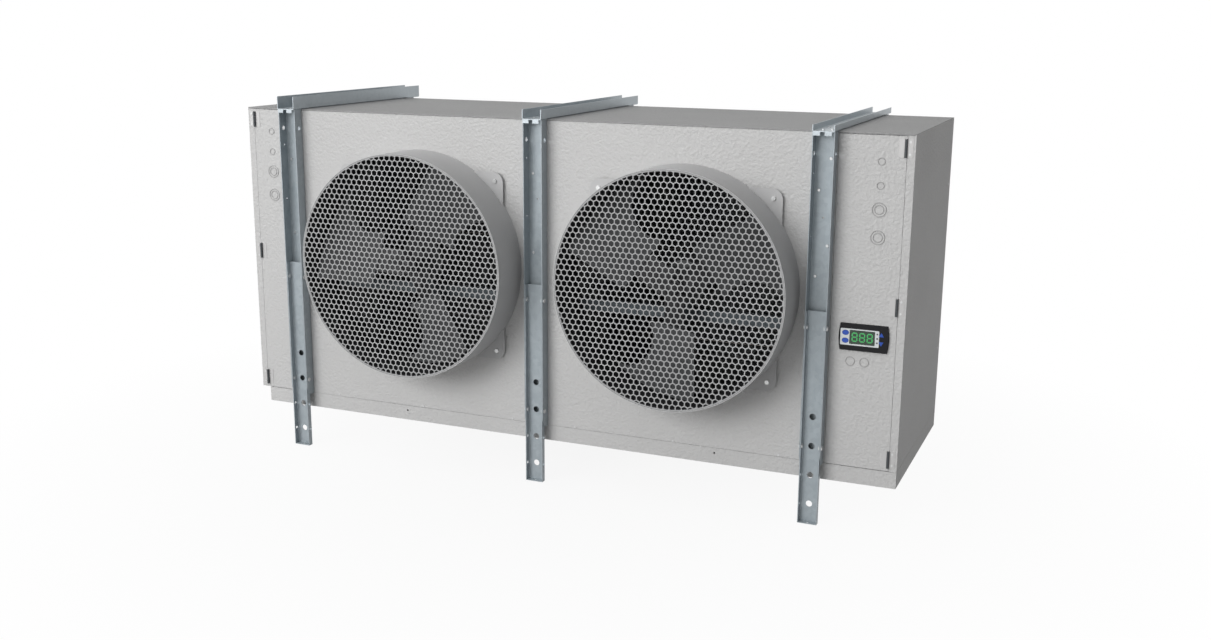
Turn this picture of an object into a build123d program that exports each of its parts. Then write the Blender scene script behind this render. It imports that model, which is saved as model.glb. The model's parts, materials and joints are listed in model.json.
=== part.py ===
from build123d import *
from math import asin, cos, degrees, radians, sin
import os

os.makedirs("parts", exist_ok=True)

# A walk-in unit cooler that hangs from three ceiling rails and stands on six bolted legs. Air enters
# the coil at the back and leaves through two guarded fans in front. X runs across the cabinet, the
# front faces -Y and Z is up. The origin is under the middle of the whole unit, at floor level.

# ---- Driving dimensions, millimetres ----
CABINET_W = 2520.0  # over the end panels
CABINET_D = 758.0  # front face to back face
CABINET_H = 1158.0  # underside of the drain pan to the top
FLOOR_GAP = 150.0  # floor to the underside of the drain pan
LEFT_BAY_W = 170.0  # end compartment with the return bends
RIGHT_BAY_W = 242.0  # end compartment with the piping and the wiring
SHEET = 2.0  # cabinet panels
SEAM = 0.5  # gap between panels that lie side by side
TOP_BEND = 1.2  # rounding of the top panel's long edges
POST_W = 25.4  # front and rear posts folded from the end panels
TOP_LIP = 5.0  # down-turned edge of the top panel
FLANGE = 20.0  # flanges of the partitions
COVER_LAP = 10.0  # rear covers past the partitions

PAN_H = 56.0  # outside height of the drain pan
PAN_GAP = 1.0  # between the pan's rim and the cabinet
PAN_INSET = 35.0  # the pan stops short of the left end panel
PAN_HOLE_R = 3.5
PAN_HOLES = {"left": -84.0, "right": 126.5}  # across, from the fan shaft above
PAN_HOLE_UP = 37.6
DRAIN_R = 16.7
DRAIN_BORE_R = 13.0
DRAIN_LENGTH = 45.0
DRAIN_NUT_R = 27.0
DRAIN_NUT_H = 9.0
DRAIN_X_INSET = 90.0  # from the pan's left end
DRAIN_BACK_INSET = 110.0  # from the pan's rear wall

FAN_UP = 626.0  # fan shafts above the underside of the pan
FAN_TIP_R = 381.0
TIP_GAP = 9.0  # blade tip to throat
COLLAR_WALL = 3.0
COLLAR_FLARE = 12.0  # how far the collar's barrel stands outside its throat
COLLAR_REACH = 175.0  # collar's front edge ahead of the cabinet's front
COLLAR_SEAT = 0.3  # collar's rear edge ahead of the fan panel
THROAT_DEPTH = 110.0  # straight part of the throat, from the fan panel
LEDGE_W = 10.0  # inner ledge that carries the guard
COLLAR_GAPS = (103.0, 31.0)  # left and right of a collar; other bays share their spare width alike
PLATE_SIDE = 680.0  # square base plate of the collar
PLATE_CORNER_R = 35.0
PLATE_T = 3.0
PLATE_STANDOFF = 10.0  # base plate ahead of the fan panel
PLATE_BOLT_PITCH = 618.0
PLATE_BOLT_R = 4.0
SPACER_R = 8.0
BOLT_HEAD_R = 8.0
BOLT_HEAD_H = 5.0

GUARD_T = 4.0
GUARD_PITCH = 64.2  # between hexagons in a row
GUARD_WEB = 15.0  # metal between two hexagons
GUARD_RIM = 9.0  # unpunched edge of the guard
GUARD_FIT = 0.3  # around the guard's edge

BLADE_T = 2.5
BLADE_COUNT = 3
BLADE_PITCH_ANGLE = 24.0
BLADE_CAMBER_R = 900.0
BLADE_BACK = -86.0  # middle of the blades, behind the cabinet's front face
BLADE_ROOT_R = 165.0
SPIDER_T = 4.0
HUB_R = 34.0
HUB_LENGTH = 46.0
ARM_W = 84.0
ARM_R = 205.0
SPIDER_R = 95.0
SHAFT_R = 8.0
SHAFT_FIT = 0.05  # radial running clearance of the shaft
SHAFT_IN_MOTOR = 60.0
MOTOR_R = 78.0
MOTOR_LENGTH = 190.0
MOTOR_BACK = 6.0  # front face of the motor behind the cabinet's front face
MOTOR_BOSS_R = 26.0
MOTOR_BOSS_H = 12.0
MOTOR_CAP_R = 66.0
MOTOR_CAP_H = 22.0
BRACKET_H = 36.0
BRACKET_D = 34.0
BRACKET_T = 3.0
BRACKET_DROP = 12.0  # bracket below the motor's barrel
BRACKET_LAP = 22.0  # bracket past the fan panel's hole on each side
CRADLE_W = 60.0

CHANNEL_W = 72.0
CHANNEL_D = 45.0
CHANNEL_T = 2.5
BEND_R = 4.0  # outside bend radius of rails, channels and legs
CHANNEL_INSET = 38.0  # outer channels' middles from the partitions
CHAMFER_UP = 28.0  # cut off the channel's lower front corner
CHAMFER_IN = 15.0
WIDE_HOLE_R = 8.0
WIDE_HOLE_DROP = 70.0  # from the cabinet's top, like the holes and rivets below
SMALL_HOLE_R = 3.5
SMALL_HOLES_DROP = (133.0, 336.0)
CENTRE_HOLE_DROP = 277.0
RIVET_COLUMN = 17.5  # rivets left and right of the channel's middle
RIVETS = ((1, 87.0), (-1, 188.6), (1, 367.4), (-1, 469.0))  # column and drop
RIVET_R = 5.5
RIVET_H = 2.5

LEG_FIT = 0.5  # between leg and channel, each side
LEG_D = 23.0
LEG_TOP_UP = 578.0
LEG_HOLE_R = 11.0
LEG_HOLE_PITCH = 101.6
LEG_HOLES = 4
LEG_HOLE_LOW_UP = -85.2
FOOT_HOLE_R = 4.5
LEG_BOLT_R = 5.0
LEG_BOLT_FIT = 0.3
LEG_BOLT_HEAD_R = 8.5
LEG_BOLT_HEAD_H = 3.6
LEG_BOLT_STEPS = (2, 6)  # bolted holes, counted up from the lowest

RAIL_OVERHANG = 90.0  # rail past the cabinet's back
RAIL_FRONT = 50.0  # rail ahead of the cabinet's front
RAIL_HEIGHTS = (48.0, 35.0, 22.0)  # stepped, left to right, so that the hung cabinet drains left
TAB_W = 23.0
TAB_H = 12.0
TAB_PITCH = 38.0
HANGER_HOLE_R = 7.0
HANGER_INSET = 26.0  # hanger hole from each end of the rail
RAIL_SCREW_COLUMN = 15.0
RAIL_SCREWS_FRONT = (5.0, 88.0, 237.0, 383.0)  # behind the cabinet's front
RAIL_SCREWS_REAR = (276.0, 138.0, 13.0)  # ahead of the cabinet's back
SCREW_HEAD_R = 5.0
SCREW_HEAD_H = 2.6

DOOR_RETURN = 10.0
DOOR_GAP = 1.5  # at the door's free edge
DOOR_HINGE_GAP = 1.0
HINGE_R = 4.5
HINGE_INSET = 4.1  # hinge axis inside the post's edge
HINGE_PIN_R = 2.0
HINGE_PIN_FIT = 0.05
HINGE_LENGTH = 58.0
HINGE_LEAF_T = 1.2
HINGE_LEAF_W = 22.0
HINGE_FACE_GAP = 0.3  # between knuckles and the faces behind them
HINGE_RISE = 98.75  # lowest door hinge above the pan's underside
HINGE_DROPS = (550.0, 44.0)  # the other two below the cabinet's top
KNUCKLE_GAP = 0.3

COIL_D = 152.0
COIL_INSET = 6.0  # coil ahead of the cabinet's back
COIL_BOTTOM_UP = 72.0
COIL_TOP_GAP = 18.0  # below the cabinet's top
FIN_T = 0.8
FIN_PITCH = 35.0
TUBE_R = 8.0
TUBE_ROW_PITCH = 76.0
TUBE_LEVELS = 8
TUBE_LEVEL_PITCH = 130.0
TUBE_FIT = 0.3
TUBE_STUB = 14.0  # rear tubes past the right partition
TUBE_SOCKET = 3.0  # how far a pipe enters the one that carries it
HEADER_OUT = 60.0  # header's axis past the right partition
HEADER_R = 27.0
HEADER_MARGIN = 30.0  # header past the first and last tubes
SUCTION_R = 20.6
SUCTION_UP = 200.0
SADDLE_R = 25.0  # collar where the suction pipe leaves the header
SADDLE_REACH = 45.0  # from the header's axis
LIQUID_R = 7.9
LIQUID_UP = 300.0
LIQUID_BEND_R = 30.0
VALVE_R = 19.0
VALVE_H = 44.0
VALVE_UP = 430.0
DISTRIBUTOR_OUT = 150.0  # distributor's axis past the right partition
DISTRIBUTOR_R = 14.0
DISTRIBUTOR_H = 60.0
LEAD_R = 3.0
STUB_REACH = 50.0  # pipe ends past the cabinet's back
STUB_FIT = 1.0
HEATER_R = 4.2
HEATER_GAP = 0.4  # heater ahead of the fins
HEATER_BEND_R = 30.0
HEATER_INSET = 40.0
HEATERS_UP = (250.0, 600.0, 950.0)

CONTROL_INSET = 130.0  # controller's middle from the right end
CONTROL_UP = 498.5
CONTROL_W = 165.0
CONTROL_H = 91.0
CONTROL_BOW = 5.0  # how far the ends bow out
CONTROL_T = 9.0
CONTROL_TAPER = 15.0
CONTROL_BODY_W = 140.0
CONTROL_BODY_H = 68.0
CONTROL_BODY_D = 45.0
CONTROL_BODY_FIT = 1.0
FACE_RISE = 2.0  # the controller's window and keys above its middle
WINDOW_W = 81.0
WINDOW_H = 45.0
WINDOW_T = 2.0
WINDOW_SHIFT = -3.5  # window left of the controller's middle
KEY_T = 4.0
KEY_PROUD = 1.0
KEY_TRAVEL = 1.2
KEY_FIT = 0.35
KEY_STOP = 0.3  # left under a pressed key
KEY_STEM_LENGTH = 12.0
KEY_STEM_R = 2.0
KEY_STEM_FIT = 0.05
OVAL_W = 21.0
OVAL_H = 16.0
ARROW_R = 9.0
KEY_COLUMN = 58.0  # keys left and right of the controller's middle
KEY_ROW = 13.0  # keys above and below the middle of the row

TERMINAL_W = 76.0
TERMINAL_D = 200.0
TERMINAL_H = 260.0
TERMINAL_BACK = 70.0
TERMINAL_UP = 720.0
LID_H = 30.0
SEAM_SCREW_RISE = 5.0
PANEL_SCREW_R = 4.0
PANEL_SCREW_H = 1.8
SEAM_SCREWS = {"left": (-392.0, -14.0, 364.0), "right": (-402.0, -26.0, 354.0)}  # from the fan shaft
END_SCREWS_UP = (316.0, 923.0)
END_SCREW_INSET = 51.0  # ahead of the cabinet's back

# ---- Places worked out from the driving dimensions ----
FRONT_Y = (COLLAR_REACH - CABINET_D - RAIL_OVERHANG) / 2
LEFT_X = -CABINET_W / 2
RIGHT_X = CABINET_W / 2
SEAM_LEFT = LEFT_X + LEFT_BAY_W
SEAM_RIGHT = RIGHT_X - RIGHT_BAY_W
SEAM_MID = (SEAM_LEFT + SEAM_RIGHT) / 2
PANEL_BOTTOM = PAN_H + PAN_GAP
PANEL_TOP = CABINET_H - TOP_LIP - SEAM
TOP_UNDER = CABINET_H - SHEET
BACK_SHEET = (CABINET_D - SHEET, CABINET_D)
THROAT_R = FAN_TIP_R + TIP_GAP
PANEL_HOLE_R = THROAT_R + COLLAR_WALL
COLLAR_R = PANEL_HOLE_R + COLLAR_FLARE
BAY_PITCH = (SEAM_RIGHT - SEAM_LEFT) / 2 - CHANNEL_INSET
FAN_START_ANGLE = {"left": 57.0, "right": 30.0}
CHANNEL_X = {"left": SEAM_MID - BAY_PITCH, "centre": SEAM_MID, "right": SEAM_MID + BAY_PITCH}
COLLAR_SPARE = BAY_PITCH - CHANNEL_W - 2 * COLLAR_R
FAN_INSET = CHANNEL_W / 2 + COLLAR_R + COLLAR_SPARE * COLLAR_GAPS[0] / sum(COLLAR_GAPS)
FAN_X = {"left": CHANNEL_X["left"] + FAN_INSET, "right": CHANNEL_X["centre"] + FAN_INSET}
CONTROL_X = RIGHT_X - CONTROL_INSET
LEG_W = CHANNEL_W - 2 * CHANNEL_T - 2 * LEG_FIT
LEG_BOLTS_UP = [LEG_HOLE_LOW_UP + step * LEG_HOLE_PITCH for step in LEG_BOLT_STEPS]
COIL_REAR = CABINET_D - COIL_INSET
COIL_FRONT = COIL_REAR - COIL_D
COIL_TOP_UP = CABINET_H - COIL_TOP_GAP
COIL_MID_UP = (COIL_BOTTOM_UP + COIL_TOP_UP) / 2
FRONT_ROW = (COIL_FRONT + COIL_REAR - TUBE_ROW_PITCH) / 2
REAR_ROW = FRONT_ROW + TUBE_ROW_PITCH
TUBES_UP = [COIL_MID_UP + (level - (TUBE_LEVELS - 1) / 2) * TUBE_LEVEL_PITCH for level in range(TUBE_LEVELS)]
HEADER_X = SEAM_RIGHT + HEADER_OUT
DISTRIBUTOR_X = SEAM_RIGHT + DISTRIBUTOR_OUT
HEATER_BACK = COIL_FRONT - HEATER_GAP - HEATER_R
HINGE_UP = [HINGE_RISE] + [CABINET_H - drop for drop in HINGE_DROPS]
HINGE_AXIS_BACK = -HINGE_R - HINGE_FACE_GAP
HINGE_AXIS_X = CABINET_W / 2 - POST_W - HINGE_INSET
LEAF_SCREW_X = HINGE_AXIS_X + (HINGE_LEAF_W + HINGE_R) / 2
PAN_X = (LEFT_X + PAN_INSET, RIGHT_X)
PAN_HINGES_X = (
    (LEFT_X + POST_W + SEAM_LEFT + COVER_LAP) / 2,
    (RIGHT_X - POST_W + SEAM_RIGHT - COVER_LAP) / 2,
)


def at(x, back, up):
    """The point at x, this far back from the cabinet's front face and up from the pan's underside."""
    return (x, FRONT_Y + back, FLOOR_GAP + up)


def block(x_span, back_span, up_span, mode=Mode.ADD):
    """Put a rectangular block between three pairs of limits into the piece being built."""
    with Locations(at(sum(x_span) / 2, sum(back_span) / 2, sum(up_span) / 2)):
        Box(
            abs(x_span[1] - x_span[0]),
            abs(back_span[1] - back_span[0]),
            abs(up_span[1] - up_span[0]),
            mode=mode,
        )


def facing_front(x, back, up):
    """A plane that faces forwards, with its x across the cabinet and its y up."""
    return Plane(origin=at(x, back, up), x_dir=(1, 0, 0), z_dir=(0, -1, 0))


def facing_right(x, back=0.0, up=0.0):
    """A plane that faces the cabinet's right end, with its x backwards and its y up."""
    return Plane(origin=at(x, back, up), x_dir=(0, 1, 0), z_dir=(1, 0, 0))


def facing_up(x, back, up):
    """A plane that faces up, with its x across the cabinet and its y backwards."""
    return Plane(origin=at(x, back, up), x_dir=(1, 0, 0), z_dir=(0, 0, 1))


def facing_down(x, back, up):
    """A plane that faces down, with its x across the cabinet and its y forwards."""
    return Plane(origin=at(x, back, up), x_dir=(1, 0, 0), z_dir=(0, 0, -1))


def polar(radius, angle):
    """The point at this distance and angle, in degrees, from a sketch's origin."""
    return (radius * cos(radians(angle)), radius * sin(radians(angle)))


def drill(plane, points, radius, depth):
    """Cut round holes into the piece being built, from a plane backwards through the metal."""
    with BuildSketch(plane) as holes:
        with Locations(*points):
            Circle(radius)
    extrude(holes.sketch, amount=-depth, mode=Mode.SUBTRACT)


def bent_channel(section, width, depth, thickness):
    """Draw a U in a sketch: its web lies along x, its flanges run along +y, its bends are round."""
    Rectangle(width, depth, align=(Align.CENTER, Align.MIN))
    fillet(section.vertices().group_by(Axis.Y)[0], BEND_R)
    with Locations((0, thickness)):
        Rectangle(width - 2 * thickness, depth, align=(Align.CENTER, Align.MIN), mode=Mode.SUBTRACT)
    inner_corners = [v for v in section.vertices() if abs(v.Y - thickness) < 0.01]
    fillet(inner_corners, BEND_R - thickness)


# ---- Cabinet panels ----
with BuildPart() as top_panel:
    block((LEFT_X, RIGHT_X), (0, CABINET_D), (TOP_UNDER, CABINET_H))
    lip_x = (LEFT_X + SHEET + SEAM, RIGHT_X - SHEET - SEAM)
    for lip_back in ((0, SHEET), BACK_SHEET):
        block(lip_x, lip_back, (CABINET_H - TOP_LIP, TOP_UNDER))
    long_edges = top_panel.edges().filter_by(Axis.X).group_by(Axis.Z)[-1]
    fillet(long_edges, TOP_BEND)
top_panel.part.label = "top_panel"
export_step(top_panel.part, "parts/top_panel.step")

for side, outer, inwards in (("left", LEFT_X, 1), ("right", RIGHT_X, -1)):
    with BuildPart() as end_panel:
        block((outer, outer + inwards * SHEET), (0, CABINET_D), (PANEL_BOTTOM, TOP_UNDER))
        for post_back in ((0, SHEET), BACK_SHEET):
            block((outer, outer + inwards * POST_W), post_back, (PANEL_BOTTOM, PANEL_TOP))
    end_panel.part.label = f"end_panel_{side}"
    export_step(end_panel.part, f"parts/end_panel_{side}.step")

FAN_PANEL_X = {
    "left": (SEAM_LEFT + SEAM / 2, SEAM_MID - SEAM / 2),
    "right": (SEAM_MID + SEAM / 2, SEAM_RIGHT - SEAM / 2),
}
for side, fan_x in FAN_X.items():
    with BuildPart() as fan_panel:
        block(FAN_PANEL_X[side], (0, SHEET), (PANEL_BOTTOM, PANEL_TOP))
        drill(facing_front(fan_x, 0, FAN_UP), [(0, 0)], PANEL_HOLE_R, SHEET)
        with BuildSketch(facing_front(fan_x, 0, FAN_UP)):
            with GridLocations(PLATE_BOLT_PITCH, PLATE_BOLT_PITCH, 2, 2):
                Circle(PLATE_BOLT_R)
        extrude(amount=-SHEET, mode=Mode.SUBTRACT)
    fan_panel.part.label = f"fan_panel_{side}"
    export_step(fan_panel.part, f"parts/fan_panel_{side}.step")

# ---- Partitions: they close the fan section at both ends, hold the coil's tubes and divide the fans ----
TUBE_POINTS = [(back, up) for back in (FRONT_ROW, REAR_ROW) for up in TUBES_UP]
HEATER_POINTS = [(HEATER_BACK, up + turn) for up in HEATERS_UP for turn in (-HEATER_BEND_R, HEATER_BEND_R)]
WALL_BACK = (SHEET, CABINET_D - SHEET)
WALL_UP = (PANEL_BOTTOM, TOP_UNDER)
LEFT_WALL_X = (SEAM_LEFT + SEAM / 2, SEAM_LEFT + SEAM / 2 + SHEET)
CENTRE_WALL_X = (SEAM_MID - SHEET / 2, SEAM_MID + SHEET / 2)
RIGHT_WALL_X = (SEAM_RIGHT - SEAM / 2 - SHEET, SEAM_RIGHT - SEAM / 2)
DOOR_STOP_BACK = (DOOR_RETURN + SEAM, DOOR_RETURN + SEAM + SHEET)

with BuildPart() as partition_left:
    block(LEFT_WALL_X, WALL_BACK, WALL_UP)
    block((LEFT_WALL_X[0], LEFT_WALL_X[0] + FLANGE), (SHEET, 2 * SHEET), WALL_UP)
    block((LEFT_WALL_X[0] - FLANGE, LEFT_WALL_X[0]), DOOR_STOP_BACK, WALL_UP)
    drill(facing_right(LEFT_WALL_X[1]), TUBE_POINTS, TUBE_R + TUBE_FIT, SHEET)
partition_left.part.label = "partition_left"
export_step(partition_left.part, "parts/partition_left.step")

with BuildPart() as partition_centre:
    block(CENTRE_WALL_X, WALL_BACK, WALL_UP)
    block((SEAM_MID - FLANGE, SEAM_MID + FLANGE), (SHEET, 2 * SHEET), WALL_UP)
    block((SEAM_MID - FLANGE, SEAM_MID + FLANGE), BACK_SHEET, (PANEL_BOTTOM, PANEL_TOP))
    drill(facing_right(CENTRE_WALL_X[1]), TUBE_POINTS, TUBE_R + TUBE_FIT, SHEET)
    drill(facing_right(CENTRE_WALL_X[1]), HEATER_POINTS, HEATER_R + TUBE_FIT, SHEET)
partition_centre.part.label = "partition_centre"
export_step(partition_centre.part, "parts/partition_centre.step")

with BuildPart() as partition_right:
    block(RIGHT_WALL_X, WALL_BACK, WALL_UP)
    block((RIGHT_WALL_X[1] - FLANGE, RIGHT_WALL_X[1]), (SHEET, 2 * SHEET), WALL_UP)
    block((RIGHT_WALL_X[1], RIGHT_WALL_X[1] + FLANGE), DOOR_STOP_BACK, WALL_UP)
    drill(facing_right(RIGHT_WALL_X[1]), TUBE_POINTS, TUBE_R + TUBE_FIT, SHEET)
    drill(facing_right(RIGHT_WALL_X[1]), HEATER_POINTS, HEATER_R + TUBE_FIT, SHEET)
partition_right.part.label = "partition_right"
export_step(partition_right.part, "parts/partition_right.step")

# ---- Rear covers of the end compartments ----
COVER_UP = (PANEL_BOTTOM, PANEL_TOP)
with BuildPart() as rear_cover_left:
    block((LEFT_X + POST_W + SEAM, SEAM_LEFT + COVER_LAP), BACK_SHEET, COVER_UP)
rear_cover_left.part.label = "rear_cover_left"
export_step(rear_cover_left.part, "parts/rear_cover_left.step")

with BuildPart() as rear_cover_right:
    block((SEAM_RIGHT - COVER_LAP, RIGHT_X - POST_W - SEAM), BACK_SHEET, COVER_UP)
    drill(facing_front(0, CABINET_D - SHEET, 0), [(HEADER_X, SUCTION_UP)], SUCTION_R + STUB_FIT, SHEET)
    drill(facing_front(0, CABINET_D - SHEET, 0), [(DISTRIBUTOR_X, LIQUID_UP)], LIQUID_R + STUB_FIT, SHEET)
rear_cover_right.part.label = "rear_cover_right"
export_step(rear_cover_right.part, "parts/rear_cover_right.step")

# ---- Coil: fins on hairpin tubes, with a suction header, a distributor and electric defrost rods ----
with BuildPart() as coil_fins:
    for span in ((LEFT_WALL_X[1], CENTRE_WALL_X[0]), (CENTRE_WALL_X[1], RIGHT_WALL_X[0])):
        count = int((span[1] - span[0]) / FIN_PITCH)
        middle = at(sum(span) / 2, (COIL_FRONT + COIL_REAR) / 2, COIL_MID_UP)
        with Locations(middle):
            with GridLocations(FIN_PITCH, 1, count, 1):
                Box(FIN_T, COIL_D, COIL_TOP_UP - COIL_BOTTOM_UP)
coil_fins.part.label = "coil_fins"
export_step(coil_fins.part, "parts/coil_fins.step")

with BuildPart() as coil_tubes:
    bend_x = LEFT_WALL_X[0] - TUBE_STUB
    header_side = HEADER_X - HEADER_R + TUBE_SOCKET
    for tube_up in TUBES_UP:
        with BuildLine(facing_up(0, 0, tube_up)) as hairpin:
            Line((header_side, FRONT_ROW), (bend_x, FRONT_ROW))
            ThreePointArc(
                (bend_x, FRONT_ROW),
                (bend_x - TUBE_ROW_PITCH / 2, (FRONT_ROW + REAR_ROW) / 2),
                (bend_x, REAR_ROW),
            )
            Line((bend_x, REAR_ROW), (RIGHT_WALL_X[1] + TUBE_STUB, REAR_ROW))
        with BuildSketch(facing_right(header_side, FRONT_ROW, tube_up)):
            Circle(TUBE_R)
        sweep(path=hairpin.wire())
coil_tubes.part.label = "coil_tubes"
export_step(coil_tubes.part, "parts/coil_tubes.step")

with BuildPart() as suction_header:
    header_bottom = TUBES_UP[0] - HEADER_MARGIN
    with BuildSketch(facing_up(HEADER_X, FRONT_ROW, header_bottom)):
        Circle(HEADER_R)
    extrude(amount=TUBES_UP[-1] + HEADER_MARGIN - header_bottom)
    with BuildSketch(facing_front(HEADER_X, FRONT_ROW + SADDLE_REACH, SUCTION_UP)):
        Circle(SADDLE_R)
    extrude(amount=SADDLE_REACH)
    with BuildSketch(facing_front(HEADER_X, CABINET_D + STUB_REACH, SUCTION_UP)):
        Circle(SUCTION_R)
    extrude(amount=CABINET_D + STUB_REACH - FRONT_ROW)
suction_header.part.label = "suction_header"
export_step(suction_header.part, "parts/suction_header.step")

with BuildPart() as distributor:
    with BuildSketch(facing_up(DISTRIBUTOR_X, REAR_ROW, COIL_MID_UP - DISTRIBUTOR_H / 2)):
        Circle(DISTRIBUTOR_R)
    extrude(amount=DISTRIBUTOR_H)
    lead_start = Vector(at(DISTRIBUTOR_X, REAR_ROW, COIL_MID_UP + DISTRIBUTOR_H / 4))
    for tube_up in TUBES_UP:
        lead_end = Vector(at(RIGHT_WALL_X[1] + TUBE_STUB - TUBE_SOCKET, REAR_ROW, tube_up))
        lead = lead_end - lead_start
        with BuildSketch(Plane(origin=lead_start, z_dir=lead)):
            Circle(LEAD_R)
        extrude(amount=lead.length)
distributor.part.label = "distributor"
export_step(distributor.part, "parts/distributor.step")

with BuildPart() as liquid_line:
    with BuildLine(facing_right(DISTRIBUTOR_X)) as liquid_path:
        FilletPolyline(
            (CABINET_D + STUB_REACH, LIQUID_UP),
            (REAR_ROW, LIQUID_UP),
            (REAR_ROW, COIL_MID_UP - DISTRIBUTOR_H / 2),
            radius=LIQUID_BEND_R,
        )
    with BuildSketch(facing_front(DISTRIBUTOR_X, CABINET_D + STUB_REACH, LIQUID_UP)):
        Circle(LIQUID_R)
    sweep(path=liquid_path.wire())
    with BuildSketch(facing_up(DISTRIBUTOR_X, REAR_ROW, VALVE_UP)):
        RegularPolygon(VALVE_R, 6)
    extrude(amount=VALVE_H)
    with BuildSketch(facing_front(DISTRIBUTOR_X, REAR_ROW, VALVE_UP + VALVE_H / 2)):
        Circle(VALVE_R * 0.8)
    extrude(amount=VALVE_H)
liquid_line.part.label = "liquid_line"
export_step(liquid_line.part, "parts/liquid_line.step")

with BuildPart() as defrost_heaters:
    rod_end = RIGHT_WALL_X[1] + HEATER_INSET
    rod_bend = LEFT_WALL_X[1] + HEATER_INSET
    for heater_up in HEATERS_UP:
        low = heater_up - HEATER_BEND_R
        high = heater_up + HEATER_BEND_R
        with BuildLine(facing_front(0, HEATER_BACK, 0)) as rod:
            Line((rod_end, low), (rod_bend, low))
            ThreePointArc((rod_bend, low), (rod_bend - HEATER_BEND_R, heater_up), (rod_bend, high))
            Line((rod_bend, high), (rod_end, high))
        with BuildSketch(facing_right(rod_end, HEATER_BACK, low)):
            Circle(HEATER_R)
        sweep(path=rod.wire())
defrost_heaters.part.label = "defrost_heaters"
export_step(defrost_heaters.part, "parts/defrost_heaters.step")

# ---- Hanger rails: bent channels across the top, open upwards, with two folded tabs in front ----
RAIL_LENGTH = RAIL_FRONT + CABINET_D + RAIL_OVERHANG
for (side, rail_x), rail_height in zip(CHANNEL_X.items(), RAIL_HEIGHTS):
    with BuildPart() as hanger_rail:
        with BuildSketch(facing_front(rail_x, CABINET_D + RAIL_OVERHANG, CABINET_H)) as rail_section:
            bent_channel(rail_section, CHANNEL_W, rail_height, CHANNEL_T)
        extrude(amount=RAIL_LENGTH)
        for tab in (0, 1):
            tab_x = rail_x - CHANNEL_W / 2 + BEND_R / 2 + tab * TAB_PITCH
            block((tab_x, tab_x + TAB_W), (-RAIL_FRONT, CHANNEL_T - RAIL_FRONT), (CABINET_H - TAB_H, CABINET_H))
            block((tab_x, tab_x + TAB_W), (-RAIL_FRONT, -RAIL_FRONT + BEND_R), (CABINET_H, CABINET_H + CHANNEL_T))
        hanger_points = [(0, HANGER_INSET - RAIL_FRONT), (0, CABINET_D + RAIL_OVERHANG - HANGER_INSET)]
        drill(facing_up(rail_x, 0, CABINET_H + CHANNEL_T), hanger_points, HANGER_HOLE_R, CHANNEL_T)
    hanger_rail.part.label = f"hanger_rail_{side}"
    export_step(hanger_rail.part, f"parts/hanger_rail_{side}.step")

with BuildPart() as rail_screws:
    for rail_x in CHANNEL_X.values():
        with BuildSketch(facing_up(rail_x, 0, CABINET_H + CHANNEL_T)):
            for screw_back in RAIL_SCREWS_FRONT + tuple(CABINET_D - inset for inset in RAIL_SCREWS_REAR):
                with Locations((-RAIL_SCREW_COLUMN, screw_back), (RAIL_SCREW_COLUMN, screw_back)):
                    RegularPolygon(SCREW_HEAD_R, 6)
        extrude(amount=SCREW_HEAD_H)
rail_screws.part.label = "rail_screws"
export_step(rail_screws.part, "parts/rail_screws.step")

# ---- Front and rear channels, with the bolted legs inside them ----
for side, channel_x in CHANNEL_X.items():
    with BuildPart() as front_channel:
        with BuildSketch(facing_down(channel_x, 0, CABINET_H)) as channel_section:
            bent_channel(channel_section, CHANNEL_W, CHANNEL_D, CHANNEL_T)
        extrude(amount=CABINET_H - PANEL_BOTTOM)
        left_face = facing_right(channel_x - CHANNEL_W / 2 + CHANNEL_T)
        right_face = facing_right(channel_x + CHANNEL_W / 2)
        flange_middle = (BEND_R - CHANNEL_D) / 2
        both_holes = [(flange_middle, CABINET_H - WIDE_HOLE_DROP)]
        bolt_holes = [(-CHANNEL_D + LEG_D / 2, up) for up in LEG_BOLTS_UP]
        for face in (left_face, right_face):
            drill(face, both_holes, WIDE_HOLE_R, CHANNEL_T)
            drill(face, bolt_holes, LEG_BOLT_R + LEG_BOLT_FIT, CHANNEL_T)
        small_holes = [(flange_middle, CABINET_H - drop) for drop in SMALL_HOLES_DROP]
        drill(left_face, small_holes, SMALL_HOLE_R, CHANNEL_T)
        drill(facing_front(channel_x, -CHANNEL_T, CABINET_H - CENTRE_HOLE_DROP), [(0, 0)], SMALL_HOLE_R, CHANNEL_T)
        with BuildSketch(facing_right(channel_x - CHANNEL_W / 2, -CHANNEL_D, PANEL_BOTTOM)):
            with BuildLine():
                Polyline((0, 0), (CHAMFER_IN, 0), (0, CHAMFER_UP), close=True)
            make_face()
        extrude(amount=CHANNEL_W, mode=Mode.SUBTRACT)
    front_channel.part.label = f"front_channel_{side}"
    export_step(front_channel.part, f"parts/front_channel_{side}.step")

with BuildPart() as rear_channels:
    for channel_x in CHANNEL_X.values():
        with BuildSketch(facing_up(channel_x, CABINET_D, PANEL_BOTTOM)) as channel_section:
            bent_channel(channel_section, CHANNEL_W, CHANNEL_D, CHANNEL_T)
        extrude(amount=CABINET_H - PANEL_BOTTOM)
        bolt_holes = [(CABINET_D + CHANNEL_D - LEG_D / 2, up) for up in LEG_BOLTS_UP]
        for face_x in (channel_x - CHANNEL_W / 2 + CHANNEL_T, channel_x + CHANNEL_W / 2):
            drill(facing_right(face_x), bolt_holes, LEG_BOLT_R + LEG_BOLT_FIT, CHANNEL_T)
rear_channels.part.label = "rear_channels"
export_step(rear_channels.part, "parts/rear_channels.step")


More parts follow.
